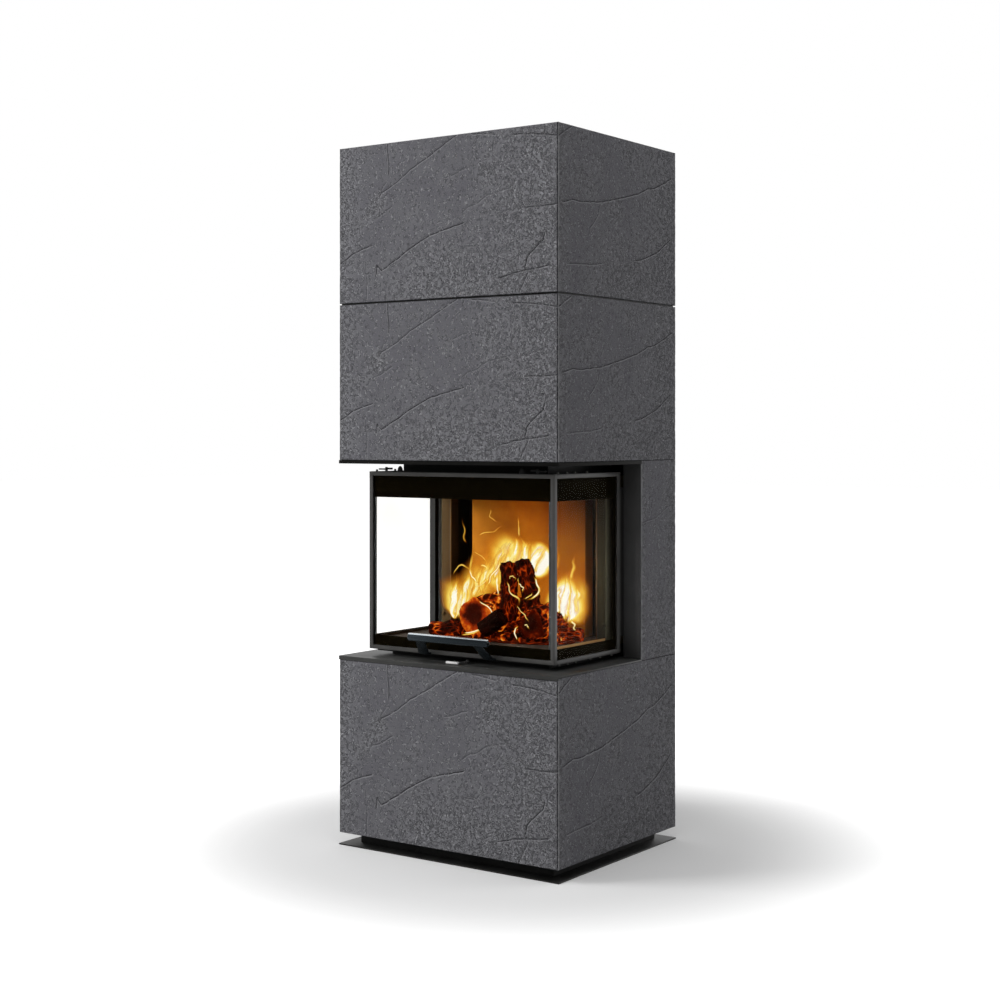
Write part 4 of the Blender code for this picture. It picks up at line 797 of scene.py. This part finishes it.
def addPrint(facing, material):
    # a grid whose inner lines are moved to the window's edges, with the window itself taken out
    lo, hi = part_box("glass_" + facing)
    inset, band, gap, front = glazing["inset"], glazing["sideBand"], glazing["gap"], facing == "front"
    rows = [lo.z + inset, glazing["bottomBand"], glazing["topBand"], hi.z - inset]
    columns = [lo.x + inset, lo.x + band, hi.x - band, hi.x - inset] if front else [
        lo.y + inset, glazing["rearBand"], hi.y - inset]
    inner = {"front": hi.y + gap, "left": hi.x + gap, "right": lo.x - gap}[facing]
    across, up = len(columns) - 1, len(rows) - 1
    bpy.ops.mesh.primitive_grid_add(x_subdivisions=across, y_subdivisions=up, size=1)
    border = bpy.context.object
    points = readPoints(border)
    for point in points:
        along, level = columns[round((point[0] + 0.5) * across)], rows[round((point[1] + 0.5) * up)]
        point[:] = (along, inner, level) if front else (inner, along, level)
    writePoints(border, points)
    pick(border, "FACE", lambda face: (rows[1] < face.center[2] < rows[2] and
                                       columns[-3] < face.center[0 if front else 1] < columns[-2]))
    bpy.ops.mesh.delete(type="FACE")
    turnOutwards()
    film = border.modifiers.new("film", "SOLIDIFY")
    film.thickness, film.offset = glazing["film"], 0
    applyModifiers(border)
    settle(border, f"{facing}_glass_print", material, "lift_door")


def addGlazing():
    glass, enamel = ceramicGlass(), firedPrint()
    for facing in ("front", "left", "right"):
        pane = nodes["glass_" + facing]
        pane.data.materials.clear()
        pane.data.materials.append(glass)
        pane.visible_shadow = False
        addPrint(facing, enamel)
    print("glazing is in")


addGlazing()


# the lining

pilasters = {
    # across a pilaster, from the side that looks onto the fire to its outer side, as shares of its width: burnt black,
    # a painted highlight on the corner, painted shade beside it, the clay's own tone and ash grey
    "from": 0.2540, "to": 0.2890, "ownShare": 0.25,
    "bands": [(0.0, "#0b0907"), (0.015, "#0b0907"), (0.03, "#8a7455"), (0.12, "#8a7455"), (0.15, "#2a2018"),
              (0.2, "#2a2018"), (0.23, "own"), (0.97, "own"), (0.985, "#a8a28a"), (1.0, "#a8a28a")],
}
cornerDarkening = {"from": 0.82, "to": 1.0, "reach": 0.2, "colour": "#3c2a1e"}    # darker over the back block's upper right corner


def fireclay(name, tint, banded=False, darkerCorner=False):
    # pressed fireclay brick: buff with 3 mm pores, under a bloom of soot in clouds 140 mm wide
    material, tree, surface, coords = newMaterial(name, Roughness=0.88, Specular_IOR_Level=0.2)
    patch = addNode(tree, "TexNoise", {"Scale": 7, "Detail": 5, "Roughness": 0.6}, {"Vector": coords})
    colour = final = addNode(tree, "ValToRGB", {"stops": [(0.3, tint[0]), (0.7, tint[1])]}, {"Fac": patch})
    place = addNode(tree, "SeparateXYZ", {}, {0: coords})
    # bands across a pilaster, among them a painted highlight and painted shade at its fire-side corner
    if banded:
        side = addNode(tree, "Math", {"operation": "ABSOLUTE"}, {0: place.outputs["X"]})
        share = addNode(tree, "MapRange", {"From Min": pilasters["from"], "From Max": pilasters["to"]}, {"Value": side})
        stops = [(at, tint[1] if code == "own" else code) for at, code in pilasters["bands"]]
        bands = addNode(tree, "ValToRGB", {"stops": stops}, {"Fac": share})
        final = addNode(tree, "MixRGB", {"Fac": pilasters["ownShare"]}, {"Color1": bands, "Color2": colour})
    # darker towards the upper right corner
    if darkerCorner:
        up = addNode(tree, "MapRange", {"From Min": cornerDarkening["from"], "From Max": cornerDarkening["to"]},
                     {"Value": place.outputs["Z"]})
        out = addNode(tree, "MapRange", {"From Max": cornerDarkening["reach"]}, {"Value": place.outputs["X"]})
        darkening = addNode(tree, "Math", {"operation": "MULTIPLY"}, {0: up, 1: out})
        final = addNode(tree, "MixRGB", {"Color2": cornerDarkening["colour"]}, {"Fac": darkening, "Color1": colour})
    pores = addNode(tree, "TexNoise", {"Scale": 350, "Detail": 3}, {"Vector": coords})
    bump = addNode(tree, "Bump", {"Strength": 0.3, "Distance": 0.5 * mm}, {"Height": pores})
    connect(surface, {"Base Color": final, "Normal": bump})
    return material


def addLining():
    dress("pilaster_left", fireclay("sooted_fireclay_painted_corner_light_left", ("#46351f", "#4e3c24"), banded=True), 0.8 * mm)
    dress("pilaster_right", fireclay("sooted_fireclay_painted_corner_light_right", ("#2d2b1e", "#343121"), banded=True), 0.8 * mm)
    # the back block's orange is painted firelight, darker towards its upper right corner
    dress("back_block", fireclay("firelit_back_clay", ("#9a5a10", "#c07c1c"), darkerCorner=True), 0.8 * mm)
    dress("hearth_slab", fireclay("ash_grey_fireclay", ("#2a2420", "#4a4038")), 0.8 * mm)
    dress("baffle_plate", fireclay("vermiculite_board", ("#6b5b45", "#8a7758")), 0.8 * mm)
    dress("door_seal", fireclay("glass_fibre_rope", ("#2c2c2c", "#444444")), 0.5 * mm)
    print("lining is in")


addLining()


# the fire: charred logs, a bed of coals and the flames over them

logs = {
    # each log's ends, its radius, how flat it is, how round its ends, how big the char plates are and how hot it glows
    # along its length and on its ends; the first two stand for the part's own logs
    "log_left": {"ends": ((-0.030, -0.1217, 0.6545), (-0.030, 0.0617, 0.6545)), "radius": 0.0555, "flat": 0.95,
                 "round": 0, "plate": 15 * mm, "heat": 1.0, "endHeat": 0.72},
    "log_right": {"ends": ((0.163, -0.124, 0.640), (0.150, 0.034, 0.655)), "radius": 0.044, "flat": 1.0,
                  "round": 0.3, "plate": 14 * mm, "heat": 0.72, "endHeat": 0.3},
    "branch": {"ends": ((0.128, -0.050, 0.655), (0.080, -0.045, 0.818)), "radius": 0.023, "flat": 1.15,
               "round": 0.7, "plate": 12 * mm, "heat": 0.5, "endHeat": 0.3},
    "stub": {"ends": ((0.056, -0.075, 0.640), (0.043, -0.060, 0.810)), "radius": 0.022, "flat": 1.2,
             "round": 0.7, "plate": 12 * mm, "heat": 0.45, "endHeat": 0.25},
    "small_log": {"ends": ((-0.198, -0.110, 0.6085), (-0.088, -0.102, 0.6155)), "radius": 0.023, "flat": 0.8,
                  "round": 0.5, "plate": 13 * mm, "heat": 0.85, "endHeat": 0.5},
    # a near-black chunk standing in for the shade in the gap at the fire's front
    "front_chunk": {"ends": ((0.004, -0.136, 0.616), (0.068, -0.120, 0.664)), "radius": 0.027, "flat": 1.1,
                    "round": 0.5, "plate": 16 * mm, "heat": 0.05, "endHeat": 0.03},
    "side_chunk": {"ends": ((0.172, 0.000, 0.6085), (0.246, 0.014, 0.6075)), "radius": 0.020, "flat": 0.85,
                   "round": 0.5, "plate": 12 * mm, "heat": 0.6, "endHeat": 0.5},
}
char = {
    "around": 88, "step": 3.6 * mm, "smooth": 60,    # faces round a log, their length along it, and degrees
    "crackDepth": 3.2 * mm, "crackWidth": 0.22, "plateLength": 1.9,    # the last two as shares of a char plate
    "lump": 0.32, "lumpSize": 45 * mm, "fray": 1.2 * mm, "fraySize": 5 * mm, "warmSize": 38 * mm,
    "taper": 0.45, "taperFrom": 1.3,    # how much a rounded end narrows, and how many radii before its face
    "endRings": 7, "ringGap": 3.1 * mm, "ringDepth": 0.8 * mm, "ringBend": 20 * mm,
    "dent": 5 * mm, "dentSize": 30 * mm, "endCrack": 2 * mm,
    "core": (0.12, 0.1), "coreEdge": 0.42,    # an end burns from its rim inwards, and the core lies off its centre
}
embers = {
    "around": 128, "up": 64, "clear": 1.5 * mm, "pit": 1.3 * mm, "pitSizes": (11 * mm, 5 * mm), "heat": 0.6,
}
coals = {
    "seed": 5, "count": 150, "centre": (0.030, -0.050), "reach": (0.205, 0.098),
    "size": (5 * mm, 12 * mm), "top": 0.5985, "knobs": 0.35, "heats": (0.02, 0.05, 0.1, 0.3, 0.6, 0.9),
}


def charredWood():
    # burnt oak: black scaly char with a 6 mm grain over wood that still glows orange in its cracks
    material, tree, surface, coords = newMaterial("charred_glowing_wood", Roughness=0.9, Specular_IOR_Level=0.04,
                                                  Emission_Strength=1.0)
    grain = addNode(tree, "TexNoise", {"Scale": 160, "Detail": 4, "Roughness": 0.7}, {"Vector": coords})
    ash = addNode(tree, "ValToRGB", {"stops": [(0.3, "#060302"), (0.62, "#1a0b05"), (0.8, "#38241a")]}, {"Fac": grain})
    glow = addNode(tree, "Attribute", {"attribute_name": "glow"})
    flicker = addNode(tree, "TexNoise", {"Scale": 45, "Detail": 3}, {"Vector": coords})
    sway = addNode(tree, "MapRange", {"From Min": 0.3, "From Max": 0.7, "To Min": 0.45, "To Max": 1.25},
                   {"Value": flicker})
    heat = addNode(tree, "Math", {"operation": "MULTIPLY"}, {0: glow.outputs["Fac"], 1: sway})
    colour = addNode(tree, "ValToRGB", {"stops": [(0.0, "#000000"), (0.22, "#3c0800"), (0.48, "#a83204"),
                                                  (0.78, "#ec841c"), (1.0, "#ffcc68")]}, {"Fac": heat})
    bump = addNode(tree, "Bump", {"Strength": 0.5, "Distance": 1.2 * mm}, {"Height": grain})
    connect(surface, {"Base Color": ash, "Emission Color": colour, "Normal": bump})
    return material


def clamped(value):    # held between 0 and 1
    return min(1, max(0, value))


def addLog(name, item, seed, material):
    start, end = (Vector(place) for place in item["ends"])
    length, radius, plate = (end - start).length, item["radius"], item["plate"]
    deselect()
    bpy.ops.mesh.primitive_cylinder_add(vertices=char["around"], radius=radius, depth=length, end_fill_type="NGON")
    log = bpy.context.object
    corners = log.data.vertices
    pick(log, "EDGE", lambda edge: abs(corners[edge.vertices[0]].co.z - corners[edge.vertices[1]].co.z) > length / 2)
    bpy.ops.mesh.subdivide(number_cuts=int(length / char["step"]))
    pick(log, "FACE", lambda face: abs(face.normal.z) > 0.9)
    for _ in range(char["endRings"]):
        bpy.ops.mesh.inset(thickness=radius / (char["endRings"] + 1.5))
    bpy.ops.mesh.poke()
    bpy.ops.object.mode_set(mode="OBJECT")
    points = readPoints(log)
    glow = np.zeros(len(points))
    shift = Vector((seed * 3.7, seed * 1.3, seed * 2.9))    # no two logs alike
    for i, (x, y, z) in enumerate(points):
        away, here = math.hypot(x, y), Vector((x, y, z))
        lump = 1 + char["lump"] * noise.noise(here / char["lumpSize"] + shift)
        cell = Vector((x / plate, y / plate, z / (char["plateLength"] * plate))) + shift
        near, far = noise.voronoi(cell)[0][:2]
        crack = max(0.0, 1 - (far - near) / char["crackWidth"])
        warm = clamped(0.5 + 1.4 * noise.noise(here / char["warmSize"] + shift * 2))
        blunt = item["round"] * clamped(1 - (length / 2 - abs(z)) / (char["taperFrom"] * radius))
        if abs(z) > length / 2 - 0.01 * mm:    # on an end
            rings = math.sin(away / char["ringGap"] + 2 * noise.noise(here / char["ringBend"]))
            proud = char["ringDepth"] * rings + char["dent"] * noise.noise(here / char["dentSize"] + shift)
            sunk = char["endCrack"] * crack * min(1, away / radius) + item["round"] * away ** 2 / radius
            points[i, 2] += math.copysign(1, z) * (proud - sunk)
            points[i, :2] *= lump * (1 - char["taper"] * blunt)
            core = math.hypot(x / radius - char["core"][0], y / radius - char["core"][1])
            rim = clamped((core - char["coreEdge"]) / char["coreEdge"])
            glow[i] = item["endHeat"] * (0.2 + 0.8 * rim * (0.75 + 0.25 * max(crack, warm)))
        else:
            fray = char["fray"] * noise.noise(here / char["fraySize"] + shift)
            points[i, :2] *= lump * (1 - char["taper"] * blunt ** 2) * (1 + (fray - char["crackDepth"] * crack) / away)
            glow[i] = item["heat"] * (0.95 * crack ** 0.8 * (0.35 + 0.65 * warm) + 0.22 * warm)
    points[:, 0] *= item["flat"]
    writePoints(log, points)
    writeAttribute(log, "glow", glow)
    turn = (end - start).to_track_quat("Z", "Y").to_matrix().to_4x4()
    log.data.transform(Matrix.Translation((start + end) / 2) @ turn)
    log.data.update()
    work(log)
    bpy.ops.object.shade_smooth_by_angle(angle=math.radians(char["smooth"]))
    settle(log, name + "_charred", material, "root", [name] if name in nodes else [])


def addCoalBed(material):
    # a low mound of ash and embers, pitted all over, that the logs lie on
    lo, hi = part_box("ember_bed")
    size, middle = hi - lo, (hi + lo) / 2
    bpy.ops.mesh.primitive_uv_sphere_add(segments=embers["around"], ring_count=embers["up"], radius=0.5)
    bed = bpy.context.object
    points = readPoints(bed)
    glow = np.zeros(len(points))
    coarse, fine = embers["pitSizes"]
    for i, (x, y, z) in enumerate(points):
        place = Vector((x * size.x, y * size.y, 0))
        bump = noise.noise(place / coarse) + 0.6 * noise.noise(place / fine)
        top = max(0.0, z) ** 0.5 * 1.41    # from 0 at the rim to 1 at the crown, and the underside lies flat
        height = top * (size.z - embers["clear"] + embers["pit"] * bump)
        points[i] = middle.x + place.x, middle.y + place.y, lo.z + height
        glow[i] = max(0.0, 0.35 - 0.7 * bump) * (embers["heat"] if top else 0)
    writePoints(bed, points)
    writeAttribute(bed, "glow", glow)
    work(bed)
    bpy.ops.object.shade_smooth()
    settle(bed, "ember_bed_glowing", material, "root", ["ember_bed"])


def addCoals(material):
    # loose lumps of charcoal, some black and some glowing through
    dice = random.Random(coals["seed"])
    lumps = []
    for _ in range(coals["count"]):
        angle, reach = dice.uniform(0, 2 * math.pi), math.sqrt(dice.uniform(0, 1))
        size = dice.uniform(*coals["size"])
        place = Vector((coals["centre"][0] + coals["reach"][0] * reach * math.cos(angle),
                        coals["centre"][1] + coals["reach"][1] * reach * math.sin(angle),
                        coals["top"] + size * 0.25))
        deselect()
        bpy.ops.mesh.primitive_ico_sphere_add(subdivisions=2, radius=size, location=place,
                                              rotation=[dice.uniform(0, 3) for _ in range(3)])
        lump = bpy.context.object
        points = readPoints(lump)
        for point in points:
            point *= 1 + coals["knobs"] * noise.noise(Vector(point) / (0.8 * size) + place * 300)
        points *= [1, dice.uniform(0.6, 1), dice.uniform(0.5, 0.8)]
        writePoints(lump, points)
        heat = dice.choice(coals["heats"])
        writeAttribute(lump, "glow", heat * np.clip(0.75 - 0.7 * points[:, 2] / size, 0, 1.2))    # hot underneath
        lumps.append(lump)
    settle(joinUp(lumps), "loose_coals", material, "root")


# flames as (group, heat, depth, points), each point as x, z and half the flame's width, all lengths in millimetres
flamePaths = [
    ("left", 1.15, 20, [(-210, 620, 8), (-210, 635, 13), (-205, 675, 19), (-200, 710, 22), (-190, 745, 19),
                        (-180, 790, 6)]),
    ("left", 0.9, 30, [(-190, 630, 10), (-175, 685, 19), (-165, 725, 21), (-155, 760, 14), (-165, 800, 4)]),
    ("left", 0.55, 50, [(-165, 690, 8), (-160, 735, 13), (-165, 765, 11), (-160, 800, 8), (-160, 845, 5),
                        (-160, 865, 2)]),
    ("left", 0.45, 50, [(-180, 840, 3), (-195, 865, 5), (-190, 885, 4), (-200, 910, 3), (-215, 940, 1)]),
    ("left", 0.8, -20, [(-85, 735, 4), (-105, 750, 5), (-120, 765, 5), (-115, 785, 3), (-120, 805, 1)]),
    ("left", 0.8, -10, [(-100, 785, 2), (-85, 790, 4), (-70, 785, 4), (-80, 770, 3), (-95, 780, 1)]),
    ("centre", 0.75, 40, [(-155, 670, 8), (-145, 710, 16), (-130, 745, 19), (-120, 785, 15), (-125, 830, 5)]),
    ("centre", 0.7, 30, [(-115, 690, 9), (-110, 730, 18), (-95, 765, 22), (-85, 800, 17), (-80, 845, 5)]),
    ("centre", 0.65, 20, [(-100, 720, 9), (-80, 755, 15), (-60, 780, 17), (-45, 810, 15), (-40, 840, 11),
                          (-30, 860, 3)]),
    ("centre", 0.85, 30, [(-75, 735, 9), (-60, 770, 17), (-50, 800, 23), (-30, 830, 23), (-10, 860, 15),
                          (-5, 890, 4)]),
    ("centre", 0.85, 10, [(-5, 760, 14), (5, 800, 25), (20, 825, 34), (30, 855, 31), (25, 875, 19), (40, 900, 4)]),
    ("centre", 0.85, 30, [(45, 770, 15), (45, 800, 21), (50, 835, 27), (50, 865, 19), (55, 890, 4)]),
    ("centre", 1.2, -10, [(85, 760, 9), (100, 800, 19), (115, 830, 21), (130, 850, 17), (155, 870, 6)]),
    ("centre", 0.6, 20, [(30, 865, 5), (25, 890, 5), (20, 915, 3), (25, 935, 2), (20, 955, 1)]),
    ("centre", 0.55, 50, [(-160, 865, 2), (-120, 880, 3), (-85, 885, 3), (-60, 900, 3), (-30, 895, 1)]),
    ("centre", 0.5, 60, [(-110, 960, 2), (-105, 930, 3), (-85, 915, 3), (-65, 920, 1)]),
    ("front", 1.1, -100, [(150, 780, 4), (165, 760, 5), (175, 740, 5), (160, 720, 4), (135, 710, 3), (115, 705, 1)]),
    ("front", 0.9, -100, [(75, 760, 1), (75, 770, 2), (85, 773, 3), (95, 765, 3), (85, 748, 1)]),
    ("front", 1.0, -100, [(104, 757, 2), (117, 747, 3), (123, 735, 3), (110, 720, 1)]),
    ("front", 0.8, -110, [(70, 765, 2), (80, 745, 3), (90, 725, 3), (108, 713, 5), (113, 695, 5), (105, 673, 1)]),
    ("front", 1.0, -130, [(130, 597, 1), (116, 610, 3), (113, 625, 4), (124, 638, 3), (137, 642, 1)]),
    ("front", 0.9, -130, [(140, 638, 1), (150, 644, 2), (158, 636, 3), (154, 626, 1)]),
    ("front", 0.9, -60, [(10, 700, 2), (5, 730, 5), (5, 750, 8), (10, 780, 5), (15, 805, 1)]),
    ("front", 0.7, -100, [(160, 733, 2), (142, 721, 3), (127, 712, 2), (117, 720, 1)]),
    ("front", 0.6, -130, [(-80, 600, 2), (-40, 606, 4), (-10, 616, 3), (20, 632, 1)]),
    ("centre", 0.9, 0, [(-85, 720, 2), (-65, 750, 3), (-35, 785, 4), (-20, 815, 3), (-5, 845, 1)]),
    ("front", 1.0, -127, [(-25, 705, 1), (10, 690, 3), (40, 670, 4), (40, 640, 3), (5, 620, 1)]),
    ("front", 0.9, -130, [(115, 700, 1), (135, 680, 2), (155, 660, 2), (165, 645, 1)]),
    ("left", 0.6, 30, [(-150, 830, 1), (-120, 815, 2), (-95, 800, 2), (-75, 785, 1)]),
    ("left", 0.6, 20, [(-220, 745, 1), (-200, 775, 3), (-175, 785, 4), (-150, 765, 3), (-140, 745, 1)]),
    ("left", 0.8, 0, [(-125, 725, 1), (-100, 730, 2), (-75, 750, 2), (-65, 770, 1)]),
    ("front", 1.0, -128, [(-75, 605, 2), (-40, 610, 4), (-5, 620, 5), (25, 630, 1)]),
    ("side", 1.5, 0, [(195, 630, 13), (195, 675, 25), (200, 705, 23), (205, 740, 15), (205, 780, 8), (205, 820, 2)]),
    ("side", 1.1, -20, [(185, 650, 9), (185, 705, 13), (190, 735, 10), (195, 760, 3)]),
    ("side", 0.8, 10, [(220, 650, 9), (230, 705, 13), (235, 735, 11), (240, 770, 2)]),
    ("side", 0.6, 10, [(205, 750, 9), (215, 790, 10), (220, 820, 6), (225, 850, 1)]),
    ("side", 0.9, 0, [(215, 655, 8), (225, 635, 5), (230, 620, 3), (240, 610, 1)]),
    ("side", 0.3, 30, [(150, 780, 7), (155, 825, 8), (150, 860, 2)]),
]
# wide soft glows behind the flames, written the same way
glowPaths = [
    ("left", 0.85, 45, [(-225, 620, 16), (-215, 665, 36), (-200, 710, 44), (-185, 765, 22)]),
    ("left", 0.55, 60, [(-185, 670, 26), (-170, 720, 34), (-160, 770, 26), (-160, 830, 9)]),
    ("centre", 0.9, 45, [(-45, 755, 40), (-15, 800, 60), (12, 842, 54), (36, 880, 26)]),
    ("centre", 0.5, 60, [(-150, 665, 20), (-133, 725, 34), (-117, 785, 32), (-102, 850, 12)]),
    ("centre", 0.6, 55, [(-105, 710, 26), (-78, 765, 38), (-52, 818, 38), (-28, 870, 20)]),
    ("centre", 1.6, 30, [(60, 760, 14), (85, 800, 27), (110, 835, 28), (130, 860, 12)]),
    ("centre", 0.4, 70, [(-100, 685, 40), (-68, 750, 60), (-37, 815, 58), (-10, 880, 30)]),
    ("side", 1.7, 30, [(175, 630, 22), (175, 685, 40), (180, 735, 28), (190, 795, 9)]),
    ("side", 0.7, 40, [(195, 625, 16), (210, 680, 25), (215, 735, 20), (200, 820, 8)]),
]
flames = {
    "across": 10, "along": 40,    # faces in each sheet
    "belly": 0.5,                 # how far a sheet's middle stands proud, in shares of its half width
    "spread": 1.25,               # the soft edge reaches past the written width
    "thinnest": 0.2 * mm,
    "sway": 12 * mm, "swayStep": 0.13,
    "film": 0.3 * mm,             # each sheet is a closed leaf this thick
    "crossedFrom": 14,            # half width in millimetres over which a flame has a second sheet across the first
    "crossedWidth": 0.8, "crossedHeat": 0.7, "crossedClear": 6 * mm,
    "glowSharp": 0.2,             # how sharp the glows are, where a flame is 1
    "room": ((-0.285, 0.285), (-0.215, 0.090), (0.592, 1.045)),    # the firebox, clear of its walls
    "stops": [(0.0, "#a84c0c"), (0.2, "#d4801c"), (0.42, "#eeb338"), (0.62, "#f6d65c"), (0.8, "#fbec98"),
              (1.0, "#fffdf0")],
}


def flameGas():
    # burning gas: a soft-edged glow, yellow-white in its heart, red at its tips, torn into streaks along its length
    material, tree, surface, _ = newMaterial("burning_gas", Base_Color="#000000", Roughness=1.0,
                                             Specular_IOR_Level=0, Emission_Strength=1.05)
    reads = {name: addNode(tree, "Attribute", {"attribute_name": name}).outputs["Fac"]
             for name in ("across", "along", "hotness", "draw", "sharp")}
    place = addNode(tree, "CombineXYZ", {}, {0: reads["across"], 1: reads["draw"], 2: reads["hotness"]})
    stretched = addNode(tree, "Mapping", {"Scale": (1.9, 14.0, 9.0)}, {"Vector": place})
    streak = addNode(tree, "TexNoise", {"Scale": 1.6, "Detail": 3, "Roughness": 0.55, "Distortion": 0.9},
                     {"Vector": stretched})
    rim = addNode(tree, "Math", {"operation": "ABSOLUTE"}, {0: reads["across"]})
    body, foot, tip = (
        addNode(tree, "MapRange", {"interpolation_type": "SMOOTHSTEP", "From Min": start, "From Max": end,
                                   "To Min": low, "To Max": 1.0 - low}, {"Value": source})
        for source, start, end, low in ((rim, 0.1, 1.0, 1.0), (reads["along"], 0.0, 0.18, 0.0),
                                        (reads["along"], 0.5, 1.0, 1.0)))
    ends = addNode(tree, "Math", {"operation": "MULTIPLY"}, {0: foot, 1: tip})
    mass = addNode(tree, "Math", {"operation": "MULTIPLY"}, {0: ends, 1: body})
    torn = addNode(tree, "MapRange", {"From Min": 0.3, "From Max": 0.68, "To Min": -0.45, "To Max": 0.35},
                   {"Value": streak})
    tearing = addNode(tree, "Math", {"operation": "ADD"}, {0: mass, 1: torn})
    ragged = addNode(tree, "Mix", {2: 1.0}, {0: reads["sharp"], 3: tearing})
    level = addNode(tree, "Math", {"operation": "MULTIPLY"}, {0: ragged, 1: mass})
    hot = addNode(tree, "Math", {"operation": "MULTIPLY", "use_clamp": True}, {0: level, 1: reads["hotness"]})
    colour = addNode(tree, "ValToRGB", {"stops": flames["stops"]}, {"Fac": hot})
    thick = addNode(tree, "MapRange", {"From Min": 0.02, "From Max": 0.62, "To Max": 0.95}, {"Value": hot})
    # a leaf has two faces, and each lets through the root of what the whole lets through
    through = addNode(tree, "Math", {"operation": "SUBTRACT", 0: 1.0}, {1: thick})
    each = addNode(tree, "Math", {"operation": "SQRT"}, {0: through})
    alpha = addNode(tree, "Math", {"operation": "SUBTRACT", 0: 1.0}, {1: each})
    connect(surface, {"Emission Color": colour, "Alpha": alpha})
    return material


def smoothPath(points, count):    # even steps along a smooth curve through the points
    padded = [2 * points[0] - points[1], *points, 2 * points[-1] - points[-2]]
    places = []
    for step in range(count + 1):
        whole = step * (len(points) - 1) / count
        part = min(int(whole), len(points) - 2)
        t = whole - part
        a, b, c, d = padded[part:part + 4]
        places.append(0.5 * (2 * b + (c - a) * t + (2 * a - 5 * b + 4 * c - d) * t ** 2
                             + (3 * b - a - 3 * c + d) * t ** 3))
    return np.array(places)


def addFlame(path, heat, depth, number, crossed=False, sharp=1.0):
    # one sheet drawn out along its path, bellied out in the middle; a crossed one stands across the first
    route, depth = smoothPath(np.array(path) * mm, flames["along"]), depth * mm
    deselect()
    bpy.ops.mesh.primitive_grid_add(x_subdivisions=flames["across"], y_subdivisions=flames["along"], size=2)
    sheet = bpy.context.object
    points = readPoints(sheet)
    across, along = points[:, 0].copy(), (points[:, 1] + 1) / 2
    rows = np.rint(along * flames["along"]).astype(int)
    heading = np.gradient(route[:, :2], axis=0)
    heading /= np.maximum(np.linalg.norm(heading, axis=1), 1e-6)[:, None]
    travelled = np.r_[0, np.cumsum(np.linalg.norm(np.diff(route[:, :2], axis=0), axis=1))]
    half = np.maximum(route[rows, 2], flames["thinnest"]) * flames["spread"] * (2 - sharp)
    if crossed:    # stops short of the back
        half = np.minimum(half, (flames["room"][1][1] - depth - flames["crossedClear"]) / flames["crossedWidth"])
    belly = flames["belly"] * sharp * half * (1 - across ** 2)
    sway = flames["sway"] * np.array([noise.noise(Vector((k * flames["swayStep"], number * 2.3, 0)))
                                      for k in range(flames["along"] + 1)])[rows]
    if crossed:
        points[:, 0] = route[rows, 0] + belly
        points[:, 1] = depth + across * half * flames["crossedWidth"] + sway
        points[:, 2] = route[rows, 1]
    else:
        points[:, 0] = route[rows, 0] - across * half * heading[rows, 1]
        points[:, 1] = depth - belly + sway
        points[:, 2] = route[rows, 1] + across * half * heading[rows, 0]
    for axis, (low, high) in enumerate(flames["room"]):
        points[:, axis] = np.clip(points[:, axis], low, high)
    writePoints(sheet, points)
    for name, values in {"across": across, "along": along, "draw": travelled[rows] + number * 0.37,
                         "hotness": np.full(len(points), heat * (flames["crossedHeat"] if crossed else 1)),
                         "sharp": np.full(len(points), sharp)}.items():
        writeAttribute(sheet, name, values)
    bpy.ops.object.shade_smooth()
    leaf = sheet.modifiers.new("leaf", "SOLIDIFY")
    leaf.thickness, leaf.offset = flames["film"], 0
    applyModifiers(sheet)
    return sheet


def addFlames():
    gas = flameGas()
    groups = {}
    for number, (group, heat, depth, path) in enumerate(flamePaths):
        groups.setdefault(group, []).append(addFlame(path, heat, depth, number))
        if max(half for _, _, half in path) > flames["crossedFrom"]:    # the large ones also show from the side
            groups[group].append(addFlame(path, heat, depth, number + 50, crossed=True))
    for number, (group, heat, depth, path) in enumerate(glowPaths):
        groups[group].append(addFlame(path, heat, depth, number + 100, sharp=flames["glowSharp"]))
    for group, sheets in groups.items():
        settle(joinUp(sheets), "flames_" + group, gas, "root").visible_shadow = False
    print("flames are lit")


fireLight = {"place": (0.06, -0.03, 0.80), "colour": "#ffb060", "power": 2.2, "size": 0.09}


def addFire():
    wood = charredWood()
    for number, (name, item) in enumerate(logs.items(), 1):
        addLog(name, item, number, wood)
    addCoalBed(wood)
    addCoals(wood)
    print("logs and coals are laid")
    addFlames()
    bpy.ops.object.light_add(type="POINT", location=fireLight["place"])
    lamp = bpy.context.object
    lamp.name = "fire_light"
    lamp.data.color = linear(fireLight["colour"])[:3]
    lamp.data.energy = fireLight["power"]
    lamp.data.shadow_soft_size = fireLight["size"]
    lamp.visible_camera = lamp.visible_transmission = lamp.visible_glossy = False


addFire()
